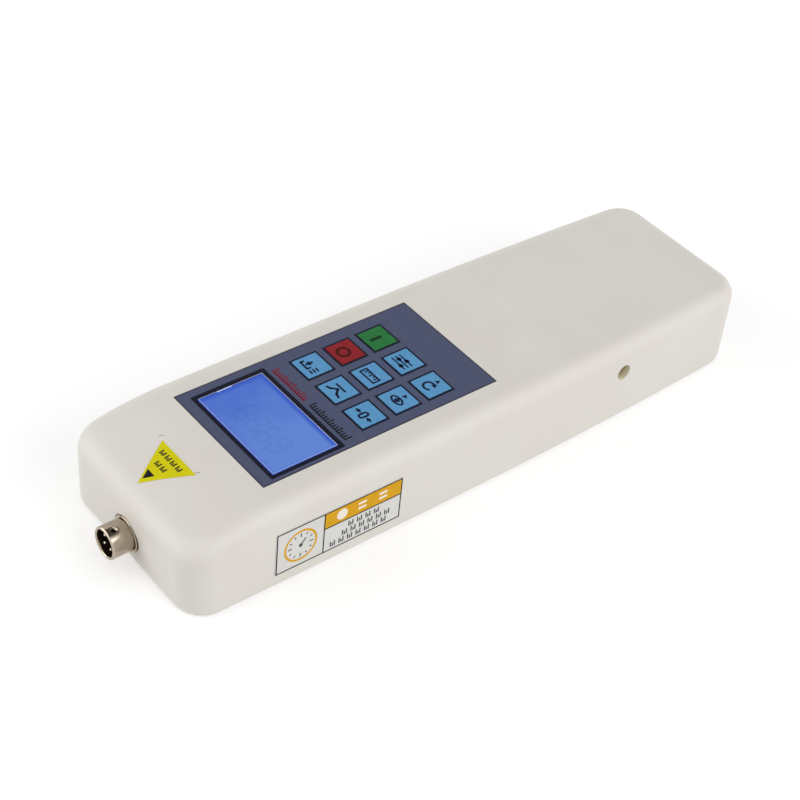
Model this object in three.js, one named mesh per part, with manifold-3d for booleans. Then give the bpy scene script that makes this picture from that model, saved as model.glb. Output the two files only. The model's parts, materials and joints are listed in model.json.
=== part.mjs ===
// A hand-held digital force gauge of the kind that reads an outside force sensor.
// It lies on its back: +X is the display's right, +Y runs from the sensor socket to the far end, +Z is
// out of the display. The origin is the middle of the back. All sizes are in millimetres.
import * as THREE from "three";
import { mergeVertices } from "three/addons/utils/BufferGeometryUtils.js";
import Module from "manifold-3d";

const wasm = await Module();
wasm.setup();

// Housing: one deep moulded shell, open at the back.
const bodyLength = 230;
const bodyWidth = 66;
const bodyHeight = 31;
const wallThickness = 2.5;
const roofThickness = 3;
const farCornerRadius = 10.5;
const nearCornerRadius = 9.5;
const roofFillet = 6;
const baseRadius = 2;
const sideFlare = 1.4;
const nearLean = 1.9;
const noseLength = 32;
const noseDrop = 5.7;
const farNarrowing = 3.2;
const nearNarrowing = 0.8;
const waistY = -8;

// Gaps: between faces that rest on each other, round a loose fit, past a wall that a cut goes through, and
// between corners that count as one.
const seatGap = 0.05;
const looseGap = 0.3;
const overrun = 1;
const weldGap = 0.0001;

// Rear cover and its four screws.
const coverThickness = 2.5;
const coverBossDiameter = 7.6;
const coverBossSideInset = 9;
const coverBossEndInset = 12.5;
const coverScrewDiameter = 3;
const coverScrewLength = 12;
const coverScrewHeadDiameter = 6;
const coverScrewHeadHeight = 1.7;
const pilotGap = 0.25;
const driveSocketDiameter = 2.4;
const driveSocketDepth = 1.2;

// Side fixing holes, one in each side wall near the far end.
const sideHoleDiameter = 5.6;
const sideHoleDepth = 9;
const sideHoleFromFarEnd = 59;
const sideHoleZ = 19.3;
const sideHoleWall = 2.2;

// Membrane panel, from its circuit up to its printed film, sunk into the roof.
const panelWidth = 46;
const panelLength = 89.2;
const panelFromNearEnd = 76.5;
const panelCornerRadius = 0.8;
const filmThickness = 0.5;
const spacerThickness = 0.65;
const domeFilmThickness = 0.1;
const circuitThickness = 0.2;

// Nine keys in rows of three, each over its own snap dome.
const keySize = 9.2;
const keyCornerRadius = 0.5;
const keyPitchX = 13.4;
const keyPitchY = 12.95;
const firstKeyX = -13.1;
const firstKeyY = -0.25;
const keyColumns = 3;
const keyGap = 0.15;
const keyRise = 0.12;
const keyThickness = 0.6;
const keyTravel = 0.35;
const plungerDiameter = 3;
const plungerClearance = 0.12;
const domeDiameter = 7.6;
const domeRise = 0.3;
const domeThickness = 0.1;

// Display: a dark frame with a clear pane, and the lit module that reaches up behind it.
const frameWidth = 41.5;
const frameLength = 26.6;
const frameBorder = 1.4;
const frameCornerRadius = 0.5;
const displayX = 0.75;
const displayFromPanelY = -27.25;
const moduleWidth = 41.2;
const moduleLength = 26.2;
const bezelWall = 0.6;
const bezelLip = 0.25;
const bezelLipReach = 1;
const glassThickness = 1.8;
const backlightThickness = 3;
const displayBoardWidth = 48;
const displayBoardLength = 36;
const displayBossDiameter = 3.6;
const displayBossPin = 1.6;
const displayBossInset = 2.2;
const headerWidth = 2.5;
const headerLength = 25.4;
const headerInset = 1.8;

// Main circuit board, hung from the roof on four standoffs.
const boardThickness = 1.6;
const mainBoardWidth = 50;
const mainBoardLength = 104;
const mainBoardFromNearEnd = 18;
const mainBoardZ = 12.4;
const standoffDiameter = 6;
const standoffInset = 4;
const boardScrewDiameter = 2.5;
const boardScrewLength = 8;
const boardScrewHeadDiameter = 4.6;
const boardScrewHeadHeight = 1.8;

// Parts on the main board; places are from the board's middle.
const shieldWidth = 22;
const shieldLength = 18;
const shieldHeight = 4;
const shieldWall = 0.5;
const shieldFromBoardY = -34;
const chipSize = 14;
const chipHeight = 1.6;
const chipFromBoardY = 15;
const buzzerDiameter = 12;
const buzzerHeight = 7;
const buzzerHole = 2;
const buzzerHoleDepth = 3;
const buzzerX = -15;
const buzzerFromBoardY = 33;
const connectorWidth = 10;
const connectorLength = 6;
const connectorHeight = 5;
const connectorEndInset = 1.5;
const powerConnectorWidth = 30;
const batteryPlugX = -10;
const portPlugX = 10;

// Keypad ribbon, from the circuit through a slot in the roof to its connector.
const tailWidth = 14;
const tailThickness = 0.3;
const tailFromPanelY = 35;
const tailSlotLength = 1.4;
const tailConnectorWidth = 18;
const tailConnectorLength = 5;
const tailConnectorHeight = 5;

// Sensor socket in the near end wall.
const socketZ = 9.6;
const socketFlangeDiameter = 12.4;
const socketFlangeThickness = 1;
const socketFlangeChamfer = 0.25;
const socketShellDiameter = 10.6;
const socketNeckDiameter = 10;
const socketNeckLength = 0.5;
const socketReach = 8.2;
const socketBore = 8.7;
const socketRimChamfer = 0.3;
const socketThreadDiameter = 9.6;
const socketThreadLength = 9;
const socketSeatDiameter = 13.8;
const socketPanelThickness = 3;
const insulatorFace = 0.8;
const pinDiameter = 1;
const pinReach = 6.4;
const pinTail = 2.4;
const pinCircleDiameter = 4.6;
const pinCount = 4;
const latchHoleDiameter = 1.7;
const latchHoleFromSeat = 5.6;
const latchHoleTurn = 12;
const washerDiameter = 13;
const washerThickness = 0.6;
const socketNutAcrossFlats = 12;
const socketNutThickness = 2.5;
const sensorCableDiameter = 3;

// Battery: four cells side by side in an open cradle that stands on the rear cover.
const cellDiameter = 10.3;
const cellLength = 44;
const cellCount = 4;
const cellTipDiameter = 3.6;
const cellTipLength = 0.8;
const cellEdge = 0.5;
const cradleWall = 1.4;
const cradleHeight = 7;
const cradleFromBoard = 5;
const batteryLeadDiameter = 2.2;

// Charging jack and data port in the far end wall.
const jackWidthShare = 1 / 6;
const jackZ = 14;
const jackFlangeDiameter = 12.6;
const jackFlangeThickness = 1.2;
const jackFlangeChamfer = 0.3;
const jackBarrelDiameter = 8;
const jackBarrelLength = 12;
const jackBore = 5.5;
const jackBoreDepth = 8.7;
const jackPinDiameter = 2;
const jackPinSetback = 1.2;
const jackNutAcrossFlats = 11;
const jackNutThickness = 2;
const portWidthShare = 0.12;
const portWidth = 7.8;
const portHeight = 4;
const portDepth = 9.5;
const portShell = 0.4;
const portTongueWidth = 5;
const portTongueHeight = 1.2;
const portTongueSetback = 1;
const portBase = 1.5;
const portBoardFromBoss = 1.1;
const portBoardLength = 13;
const portBoardZ = 11.2;
const portPostDiameter = 4.4;
const portPostPin = 1.8;
const portPostInset = 3;
const portCableDiameter = 2.2;
const portCableZ = 6.2;

// Stickers: one on the right side wall, one on the nose.
const stickerThickness = 0.12;
const sideLabelLength = 46.5;
const sideLabelHeight = 16.1;
const sideLabelFromNearEnd = 53.3;
const sideLabelZ = 12.9;
const noseStickerWidth = 17.2;
const noseStickerLength = 13.9;
const noseStickerX = -0.9;
const noseStickerFromNearEnd = 19.1;

// Steps round a full turn, fine for what shows and coarse for what is small or inside.
const fineSteps = 32;
const roundSteps = 20;
const coarseSteps = 12;
const cableSides = 8;
const edgeSteps = 1;
const cornerSteps = 5;
const roofFilletSteps = 5;
const baseRadiusSteps = 3;
const sideSteps = 8;
const noseSteps = 4;

// Heights and places that several pieces share, worked out from the sizes above.
const nearEndY = -bodyLength / 2;
const farWallY = bodyLength / 2;
const panelY = nearEndY + panelFromNearEnd;
const sideHoleY = farWallY - sideHoleFromFarEnd;
const sideLabelY = nearEndY + sideLabelFromNearEnd;
const noseStickerBaseY = nearEndY + noseStickerFromNearEnd;
const panelFilmZ = bodyHeight - filmThickness;
const spacerZ = panelFilmZ - seatGap - spacerThickness;
const domeFilmZ = spacerZ - seatGap - domeFilmThickness;
const circuitZ = domeFilmZ - seatGap - circuitThickness;
const recessZ = circuitZ - seatGap;
const displayY = panelY + displayFromPanelY;
const bezelTopZ = panelFilmZ - seatGap;
const glassZ = bezelTopZ - bezelLip - seatGap - glassThickness;
const backlightZ = glassZ - seatGap - backlightThickness;
const displayBoardZ = backlightZ - seatGap - boardThickness;
const bezelWidth = moduleWidth + 2 * (bezelWall + seatGap);
const bezelLength = moduleLength + 2 * (bezelWall + seatGap);
const mainBoardY = nearEndY + mainBoardFromNearEnd + mainBoardLength / 2;
const mainBoardTop = mainBoardZ + boardThickness;
const headerZ = mainBoardTop + seatGap;
const tailY = panelY + tailFromPanelY;
const tailConnectorTop = mainBoardTop + seatGap + tailConnectorHeight;
const noseStartY = nearEndY + noseLength;
const socketSeatY = nearEndY + nearLean * (1 - (socketZ - socketFlangeDiameter / 2) / bodyHeight);
const connectorTop = mainBoardZ - seatGap;
const connectorZ = connectorTop - connectorHeight / 2;
const trayWidth = cellCount * (cellDiameter + looseGap) + looseGap;
const trayLength = cellLength + 2 * looseGap;
const cradleWidth = trayWidth + 2 * cradleWall;
const cradleLength = trayLength + 2 * cradleWall;
const cradleNearY = mainBoardY + mainBoardLength / 2 + cradleFromBoard;
const cradleY = cradleNearY + cradleLength / 2;
const jackX = -bodyWidth * jackWidthShare;
const portX = bodyWidth * portWidthShare;

const cream = { color: 0xdfdad0, roughness: 0.42, metalness: 0 };
const darkTrim = { color: 0x14182c, roughness: 0.5, metalness: 0 };
const panelBlue = { color: 0x555b7c, roughness: 0.55, metalness: 0 };
const keyBlue = { color: 0x66aadb, roughness: 0.45, metalness: 0 };
const keyRed = { color: 0xa82630, roughness: 0.45, metalness: 0 };
const keyGreen = { color: 0x2f8a41, roughness: 0.45, metalness: 0 };
const clearPane = { color: 0xe6ecf5, roughness: 0.1, metalness: 0, transparent: true, opacity: 0.35 };
const litBlue = { color: 0x5f86dc, roughness: 0.3, metalness: 0 };
const plainFilm = { color: 0xd8d2b8, roughness: 0.6, metalness: 0 };
const steel = { color: 0xb9b6ae, roughness: 0.3, metalness: 0.9 };
const brass = { color: 0xc9a657, roughness: 0.3, metalness: 0.9 };
const boardGreen = { color: 0x1f6b3c, roughness: 0.6, metalness: 0 };
const blackPlastic = { color: 0x1b1b1d, roughness: 0.5, metalness: 0 };
const whitePlastic = { color: 0xece9e0, roughness: 0.5, metalness: 0 };
const greyCable = { color: 0x74767a, roughness: 0.6, metalness: 0 };
const cellWrap = { color: 0x3d8f6b, roughness: 0.4, metalness: 0 };
const whiteSticker = { color: 0xf1efe9, roughness: 0.4, metalness: 0 };
const yellowSticker = { color: 0xd8d60c, roughness: 0.4, metalness: 0 };

function named(name, geometry, finish, x, y, z) {
  const mesh = new THREE.Mesh(geometry, new THREE.MeshStandardMaterial(finish));
  mesh.name = name;
  mesh.position.set(x, y, z);
  return mesh;
}

function groupOf(...members) {
  const group = new THREE.Group();
  group.add(...members);
  return group;
}

// A closed geometry as a solid that can be cut and joined.
function solidOf(geometry) {
  const bare = geometry.clone();
  bare.deleteAttribute("normal");
  bare.deleteAttribute("uv");
  const merged = mergeVertices(bare, weldGap);
  const corners = merged.index.array;
  const kept = [];
  for (let i = 0; i < corners.length; i += 3) {
    const [a, b, c] = corners.slice(i, i + 3);
    if (a !== b && b !== c && c !== a) kept.push(a, b, c);
  }
  return new wasm.Manifold(
    new wasm.Mesh({
      numProp: 3,
      vertProperties: new Float32Array(merged.attributes.position.array),
      triVerts: new Uint32Array(kept),
    }),
  );
}

function geometryOf(solid) {
  const mesh = solid.getMesh();
  const geometry = new THREE.BufferGeometry();
  geometry.setAttribute("position", new THREE.BufferAttribute(mesh.vertProperties, 3));
  geometry.setIndex(new THREE.BufferAttribute(mesh.triVerts, 1));
  const faceted = geometry.toNonIndexed();
  faceted.computeVertexNormals();
  return faceted;
}

function cut(base, tools) {
  const left = tools.reduce((solid, tool) => solid.subtract(solidOf(tool)), solidOf(base));
  return geometryOf(left);
}

function join(pieces) {
  const [first, ...others] = pieces.map(solidOf);
  return geometryOf(others.reduce((solid, piece) => solid.add(piece), first));
}

// A box whose base is centred on the point given.
function boxAt(width, length, height, x, y, z) {
  return new THREE.BoxGeometry(width, length, height).translate(x, y, z + height / 2);
}

function roundedOutline(width, length, radius) {
  const x = width / 2;
  const y = length / 2;
  const r = Math.min(radius, x / 2, y / 2);
  const outline = new THREE.Shape();
  outline.moveTo(x - r, -y);
  outline.absarc(x - r, -y + r, r, -Math.PI / 2, 0);
  outline.absarc(x - r, y - r, r, 0, Math.PI / 2);
  outline.absarc(-x + r, y - r, r, Math.PI / 2, Math.PI);
  outline.absarc(-x + r, -y + r, r, Math.PI, Math.PI * 1.5);
  outline.closePath();
  return outline;
}

function plateOf(outline, thickness) {
  const settings = { depth: thickness, bevelEnabled: false, curveSegments: edgeSteps };
  return new THREE.ExtrudeGeometry(outline, settings);
}

function plate(width, length, thickness, radius) {
  return plateOf(roundedOutline(width, length, radius), thickness);
}

// An upright cylinder whose base is centred on the point given.
function post(diameter, height, x, y, z, steps = coarseSteps) {
  const column = new THREE.CylinderGeometry(diameter / 2, diameter / 2, height, steps);
  return column.rotateX(Math.PI / 2).translate(x, y, z + height / 2);
}

// A cylinder along X or Y between two places on that axis.
function barAlongX(diameter, fromX, toX, y, z, steps = roundSteps) {
  const bar = new THREE.CylinderGeometry(diameter / 2, diameter / 2, toX - fromX, steps);
  return bar.rotateZ(Math.PI / 2).translate((fromX + toX) / 2, y, z);
}

function barAlongY(diameter, fromY, toY, x, z, steps = roundSteps) {
  const bar = new THREE.CylinderGeometry(diameter / 2, diameter / 2, toY - fromY, steps);
  return bar.translate(x, (fromY + toY) / 2, z);
}

// A piece turned about the Y axis from a list of [radius, place along the axis].
function turned(profile, steps) {
  return new THREE.LatheGeometry(profile.map(([radius, along]) => new THREE.Vector2(radius, along)), steps);
}

function turnedUpright(profile, steps) {
  return turned(profile, steps).rotateX(Math.PI / 2);
}

// The corners of a regular polygon round the origin.
function polygon(radius, sides) {
  return Array.from({ length: sides }, (_, i) => {
    const angle = (i / sides) * 2 * Math.PI;
    return new THREE.Vector2(radius * Math.cos(angle), radius * Math.sin(angle));
  });
}

// A nut whose bore runs along Y from 0 to its thickness.
function hexNut(acrossFlats, thickness, bore) {
  const outline = new THREE.Shape(polygon(acrossFlats / Math.sqrt(3), 6));
  outline.holes.push(new THREE.Path(polygon(bore / 2, roundSteps)));
  return plateOf(outline, thickness).rotateX(-Math.PI / 2);
}

function tube(points, diameter) {
  const route = new THREE.CatmullRomCurve3(points.map((point) => new THREE.Vector3(...point)));
  const section = new THREE.Shape(polygon(diameter / 2, cableSides));
  const steps = Math.ceil(route.getLength() / (2.5 * diameter)) + points.length;
  return new THREE.ExtrudeGeometry(section, { steps, extrudePath: route });
}

// The body's half width narrows towards both ends from its waist.
function widthShareAt(y) {
  const far = Math.max(y - waistY, 0) / (bodyLength / 2 - waistY);
  const near = Math.max(waistY - y, 0) / (bodyLength / 2 + waistY);
  return 1 - (farNarrowing * far ** 2 + nearNarrowing * near ** 2) / (bodyWidth / 2);
}

// The roof falls away along the nose, in a curve that leaves the flat roof smoothly.
function roofShareAt(y) {
  const along = Math.max(noseStartY - y, 0) / noseLength;
  return 1 - (noseDrop / bodyHeight) * along ** 2;
}

function roofHeightAt(y) {
  return bodyHeight * roofShareAt(y);
}

function sideXAt(y, z) {
  const level = z / roofShareAt(y);
  return (bodyWidth / 2 + sideFlare * (1 - level / bodyHeight)) * widthShareAt(y);
}

// The right half of the body's outline at one level, set in from the skin, as [x, y] from near to far.
function halfOutline(inset, level) {
  const down = 1 - level / bodyHeight;
  const half = bodyWidth / 2 + sideFlare * down - inset;
  const nearY = nearEndY + nearLean * down + inset;
  const farY = farWallY - inset;
  const nearRadius = Math.max(nearCornerRadius - inset, baseRadius / 2);
  const farRadius = Math.max(farCornerRadius - inset, baseRadius / 2);
  const points = [];
  for (let i = 0; i <= cornerSteps; i++) {
    const angle = (i / cornerSteps) * (Math.PI / 2);
    const x = half - nearRadius + nearRadius * Math.sin(angle);
    points.push([x, nearY + nearRadius - nearRadius * Math.cos(angle)]);
  }
  const wallStart = nearY + nearRadius;
  const wallEnd = farY - farRadius;
  for (let i = 1; i <= noseSteps; i++) {
    points.push([half, wallStart + (noseStartY - wallStart) * (i / noseSteps)]);
  }
  for (let i = 1; i < sideSteps; i++) {
    points.push([half, noseStartY + (wallEnd - noseStartY) * (i / sideSteps)]);
  }
  for (let i = 0; i <= cornerSteps; i++) {
    const angle = (i / cornerSteps) * (Math.PI / 2);
    const x = half - farRadius + farRadius * Math.cos(angle);
    points.push([x, wallEnd + farRadius * Math.sin(angle)]);
  }
  return points.map(([x, y]) => [x * widthShareAt(y), y]);
}

// A closed solid through half outlines stacked from the bottom up, each mirrored to the left side.
function loft(layers) {
  const count = layers[0].length;
  const positions = [];
  const faces = [];
  for (const layer of layers) {
    for (const [x, y, z] of layer) positions.push(x, y, z);
    for (const [x, y, z] of layer.toReversed()) positions.push(-x, y, z);
  }
  const ring = 2 * count;
  const quad = (a, b, c, d) => faces.push(a, b, c, a, c, d);
  for (let layer = 0; layer + 1 < layers.length; layer++) {
    for (let i = 0; i < ring; i++) {
      const next = (i + 1) % ring;
      const low = layer * ring;
      quad(low + i, low + next, low + ring + next, low + ring + i);
    }
  }
  const top = (layers.length - 1) * ring;
  for (let i = 0; i + 1 < count; i++) {
    const left = ring - 1 - i;
    quad(top + i, top + i + 1, top + left - 1, top + left);
    quad(left, left - 1, i + 1, i);
  }
  const geometry = new THREE.BufferGeometry();
  geometry.setAttribute("position", new THREE.Float32BufferAttribute(positions, 3));
  geometry.setIndex(faces);
  return geometry;
}

function skinLayer(inset, level) {
  return halfOutline(inset, level).map(([x, y]) => [x, y, level * roofShareAt(y)]);
}

function flatLayer(inset, level) {
  return halfOutline(inset, level).map(([x, y]) => [x, y, level]);
}

// The layers of a quarter round: its inset and level run from one face to the next.
function filletLayers(radius, steps, inset, level, upward) {
  return Array.from({ length: steps + 1 }, (_, i) => {
    const angle = (i / steps) * (Math.PI / 2);
    const inward = upward ? 1 - Math.cos(angle) : 1 - Math.sin(angle);
    const rise = upward ? Math.sin(angle) : 1 - Math.cos(angle);
    return skinLayer(inset + radius * inward, level + radius * rise);
  });
}

function outerSkin() {
  return loft([
    ...filletLayers(baseRadius, baseRadiusSteps, 0, 0, false),
    ...filletLayers(roofFillet, roofFilletSteps, 0, bodyHeight - roofFillet, true),
  ]);
}

function cavity() {
  const innerFillet = Math.max(roofFillet - wallThickness, baseRadius / 2);
  const ceiling = bodyHeight - roofThickness;
  return loft([
    skinLayer(wallThickness, -overrun),
    ...filletLayers(innerFillet, baseRadiusSteps, wallThickness, ceiling - innerFillet, true),
  ]);
}

// Places of the cover's four bosses, the board's four standoffs and the display's four bosses.
function mirroredPair(x, y) {
  return [
    [x, y],
    [-x, y],
  ];
}

function coverBossPlaces() {
  const nearY = nearEndY + coverBossEndInset;
  const farY = farWallY - coverBossEndInset;
  const nearX = sideXAt(nearY, coverThickness) - coverBossSideInset;
  const farX = sideXAt(farY, coverThickness) - coverBossSideInset;
  return [...mirroredPair(nearX, nearY), ...mirroredPair(farX, farY)];
}

function standoffPlaces() {
  const x = mainBoardWidth / 2 - standoffInset;
  const y = mainBoardLength / 2 - standoffInset;
  return [...mirroredPair(x, mainBoardY - y), ...mirroredPair(x, mainBoardY + y)];
}

function displayBossPlaces() {
  const x = displayBoardWidth / 2 - displayBossInset;
  const y = displayBoardLength / 2 - displayBossInset;
  return [...mirroredPair(x, -y), ...mirroredPair(x, y)].map(([px, py]) => [px + displayX, py + displayY]);
}

// The port board reaches from the port as far to each side as the cover's boss in the far corner lets it.
function portBoardWidth() {
  const bossY = farWallY - coverBossEndInset;
  const bossX = sideXAt(bossY, coverThickness) - coverBossSideInset;
  return 2 * (bossX - coverBossDiameter / 2 - portBoardFromBoss - portX);
}

function portPostPlaces() {
  const y = farWallY - wallThickness - looseGap - portBoardLength / 2;
  const x = portBoardWidth() / 2 - portPostInset;
  return mirroredPair(x, 0).map(([px, py]) => [px + portX, py + y]);
}

// A column that hangs from inside the roof down to a height, with a blind hole in its lower end.
function hangingBoss(diameter, x, y, z) {
  return post(diameter, roofHeightAt(y) - roofThickness / 2 - z, x, y, z);
}

function blindHole(diameter, depth, x, y, z) {
  return post(diameter, depth + overrun, x, y, z - overrun);
}

// The keys by row from the display, left to right.
const keyFaces = [
  ["key_save", keyBlue],
  ["key_peak", keyBlue],
  ["key_zero", keyBlue],
  ["key_off", keyRed],
  ["key_unit", keyBlue],
  ["key_view", keyBlue],
  ["key_on", keyGreen],
  ["key_set", keyBlue],
  ["key_rotate", keyBlue],
];

function keyPlaces() {
  return keyFaces.map((_, i) => {
    const column = i % keyColumns;
    const row = Math.floor(i / keyColumns);
    return [firstKeyX + column * keyPitchX, panelY + firstKeyY + row * keyPitchY];
  });
}

function sideHoleFloorX() {
  return sideXAt(sideHoleY, sideHoleZ) - sideHoleDepth;
}

function sideBosses() {
  const inner = sideHoleFloorX() - sideHoleWall;
  const outer = sideXAt(sideHoleY, sideHoleZ) - wallThickness / 2;
  const diameter = sideHoleDiameter + 2 * sideHoleWall;
  return [
    barAlongX(diameter, inner, outer, sideHoleY, sideHoleZ),
    barAlongX(diameter, -outer, -inner, sideHoleY, sideHoleZ),
  ];
}

function sideBores() {
  const inner = sideHoleFloorX();
  const outer = bodyWidth / 2 + sideFlare + overrun;
  return [
    barAlongX(sideHoleDiameter, inner, outer, sideHoleY, sideHoleZ),
    barAlongX(sideHoleDiameter, -outer, -inner, sideHoleY, sideHoleZ),
  ];
}

function frontHousing() {
  const bosses = [
    ...coverBossPlaces().map(([x, y]) => hangingBoss(coverBossDiameter, x, y, coverThickness + seatGap)),
    ...standoffPlaces().map(([x, y]) => hangingBoss(standoffDiameter, x, y, mainBoardTop + seatGap)),
    ...displayBossPlaces().flatMap(([x, y]) => [
      hangingBoss(displayBossDiameter, x, y, displayBoardZ + boardThickness + seatGap),
      hangingBoss(displayBossPin, x, y, displayBoardZ - boardThickness / 2),
    ]),
    barAlongY(socketSeatDiameter, socketSeatY, socketSeatY + socketPanelThickness, 0, socketZ),
    ...sideBosses(),
  ];
  const coverPilot = coverScrewDiameter + 2 * pilotGap;
  const boardPilot = boardScrewDiameter + 2 * pilotGap;
  const windowGap = 2 * looseGap;
  const recessWidth = panelWidth + windowGap;
  const recess = plate(recessWidth, panelLength + windowGap, bodyHeight, panelCornerRadius);
  const seatOuterY = nearEndY - overrun;
  const portZ = portBoardZ + boardThickness + seatGap;
  const tools = [
    recess.translate(0, panelY, recessZ),
    boxAt(bezelWidth + windowGap, bezelLength + windowGap, bodyHeight, displayX, displayY, displayBoardZ),
    boxAt(tailWidth + windowGap, tailSlotLength, bodyHeight, 0, tailY, mainBoardTop),
    ...coverBossPlaces().map(([x, y]) => blindHole(coverPilot, coverScrewLength, x, y, coverThickness)),
    ...standoffPlaces().map(([x, y]) => blindHole(boardPilot, boardScrewLength, x, y, mainBoardTop)),
    ...sideBores(),
    barAlongY(socketFlangeDiameter + windowGap, seatOuterY, socketSeatY, 0, socketZ, fineSteps),
    barAlongY(
      socketThreadDiameter + windowGap,
      seatOuterY,
      socketSeatY + socketPanelThickness + overrun,
      0,
      socketZ,
    ),
    barAlongY(
      jackBarrelDiameter + windowGap,
      farWallY - wallThickness - overrun,
      farWallY + overrun,
      jackX,
      jackZ,
    ),
    boxAt(
      portWidth + windowGap,
      2 * (wallThickness + overrun),
      portHeight + windowGap,
      portX,
      farWallY,
      portZ - looseGap,
    ),
  ];
  const shell = solidOf(outerSkin()).subtract(solidOf(cavity()));
  const body = bosses.reduce((solid, boss) => solid.add(solidOf(boss)), shell);
  return geometryOf(tools.reduce((solid, tool) => solid.subtract(solidOf(tool)), body));
}

// A plate let in flush with the shell's rim, with sunk holes for its screws and posts for the port board.
function rearCover() {
  const inset = wallThickness + looseGap;
  const slab = loft([flatLayer(inset, 0), flatLayer(inset, coverThickness)]);
  const headRadius = coverScrewHeadDiameter / 2 + pilotGap;
  const shankRadius = coverScrewDiameter / 2 + pilotGap;
  const sunk = turnedUpright(
    [
      [0, -overrun],
      [headRadius, -overrun],
      [headRadius, seatGap],
      [shankRadius, coverScrewHeadHeight + seatGap],
      [shankRadius, coverThickness + overrun],
      [0, coverThickness + overrun],
    ],
    roundSteps,
  );
  const holes = coverBossPlaces().map(([x, y]) => sunk.clone().translate(x, y, 0));
  const posts = portPostPlaces().flatMap(([x, y]) => [
    post(portPostDiameter, portBoardZ - seatGap - coverThickness / 2, x, y, coverThickness / 2),
    post(portPostPin, portBoardZ + boardThickness / 2, x, y, coverThickness / 2),
  ]);
  return cut(join([slab, ...posts]), holes);
}

// A screw with its head at the bottom, driven upwards. A sunk head tapers, a raised one is a short drum.
function screw(diameter, length, headDiameter, headHeight, sunk) {
  const shank = diameter / 2;
  const head = headDiameter / 2;
  const blank = turnedUpright(
    [
      [0, 0],
      [head, 0],
      [sunk ? shank : head, headHeight],
      [shank, headHeight],
      [shank, length - shank],
      [shank / 2, length],
      [0, length],
    ],
    coarseSteps,
  );
  const socket = new THREE.CylinderGeometry(
    driveSocketDiameter / 2,
    driveSocketDiameter / 2,
    driveSocketDepth + overrun,
    6,
  );
  return cut(blank, [socket.rotateX(Math.PI / 2).translate(0, 0, (driveSocketDepth - overrun) / 2)]);
}

function coverScrews() {
  const reach = coverScrewLength - looseGap;
  const head = [coverScrewHeadDiameter, coverScrewHeadHeight];
  return coverBossPlaces().map(([x, y], i) => {
    const shape = screw(coverScrewDiameter, reach, ...head, true);
    return named(`cover_screw_${i + 1}`, shape, steel, x, y, 0);
  });
}

function boardScrews() {
  const z = mainBoardZ - seatGap - boardScrewHeadHeight;
  const head = [boardScrewHeadDiameter, boardScrewHeadHeight];
  return standoffPlaces().map(([x, y], i) => {
    const shape = screw(boardScrewDiameter, boardScrewLength, ...head, false);
    return named(`board_screw_${i + 1}`, shape, steel, x, y, z);
  });
}

// One layer of the membrane panel, with openings for the keys and the display.
function panelLayer(thickness, keyOpening, displayOpening) {
  const outline = roundedOutline(panelWidth, panelLength, panelCornerRadius);
  if (keyOpening) {
    for (const [x, y] of keyPlaces()) {
      outline.holes.push(openingAt(keyOpening, keyOpening, keyCornerRadius, x, y - panelY));
    }
  }
  const [width, length] = displayOpening;
  outline.holes.push(openingAt(width, length, frameCornerRadius, displayX, displayFromPanelY));
  return plateOf(outline, thickness);
}

function openingAt(width, length, radius, x, y) {
  const points = roundedOutline(width, length, radius).getPoints(edgeSteps);
  return new THREE.Path(points.map((point) => new THREE.Vector2(point.x + x, point.y + y)));
}

function domeSheet() {
  const hollow = domeRise - domeThickness;
  const radius = domeDiameter / 2;
  const shoulder = radius * Math.SQRT1_2;
  const dome = turnedUpright(
    [
      [0, hollow],
      [shoulder - domeThickness, hollow * Math.SQRT1_2],
      [radius - domeThickness, 0],
      [radius, 0],
      [shoulder, domeRise * Math.SQRT1_2],
      [0, domeRise],
    ],
    coarseSteps,
  );
  const bezelOpening = [bezelWidth + 2 * looseGap, bezelLength + 2 * looseGap];
  const film = panelLayer(domeFilmThickness, 0, bezelOpening);
  const seats = keyPlaces().map(([x, y]) => {
    return post(domeDiameter - 2 * domeThickness, 3 * domeRise, x, y - panelY, -domeRise);
  });
  const domes = keyPlaces().map(([x, y]) => dome.clone().translate(x, y - panelY, 0));
  return join([cut(film, seats), ...domes]);
}

function keypad() {
  const keyOpening = keySize + 2 * keyGap;
  const frameOpening = [frameWidth + 2 * keyGap, frameLength + 2 * keyGap];
  const bezelOpening = [bezelWidth + 2 * looseGap, bezelLength + 2 * looseGap];
  const overlay = panelLayer(filmThickness, keyOpening, frameOpening);
  const spacer = panelLayer(spacerThickness, keyOpening, bezelOpening);
  const circuit = panelLayer(circuitThickness, 0, bezelOpening);
  const tailZ = tailConnectorTop + seatGap;
  const tail = boxAt(tailWidth, tailThickness, circuitZ - seatGap - tailZ, 0, 0, 0);
  const tailConnector = boxAt(tailConnectorWidth, tailConnectorLength, tailConnectorHeight, 0, 0, 0);
  return groupOf(
    named("panel_overlay", overlay, panelBlue, 0, panelY, panelFilmZ),
    named("keypad_spacer", spacer, plainFilm, 0, panelY, spacerZ),
    named("dome_sheet", domeSheet(), steel, 0, panelY, domeFilmZ),
    named("keypad_circuit", circuit, plainFilm, 0, panelY, circuitZ),
    named("keypad_ribbon", tail, plainFilm, 0, tailY, tailZ),
    named("keypad_connector", tailConnector, whitePlastic, 0, tailY, mainBoardTop + seatGap),
    ...keys(),
  );
}

// A key: a thin square pad a little proud of the film, whose plunger stays just above its dome when pressed.
function keys() {
  const z = bodyHeight + keyRise - keyThickness;
  const drop = z - keyTravel - plungerClearance - domeFilmZ - domeRise;
  return keyPlaces().map(([x, y], i) => {
    const pad = plate(keySize, keySize, keyThickness, keyCornerRadius);
    const plunger = post(plungerDiameter, drop + keyThickness / 2, 0, 0, -drop);
    const [name, finish] = keyFaces[i];
    return named(name, join([pad, plunger]), finish, x, y, z);
  });
}

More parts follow.
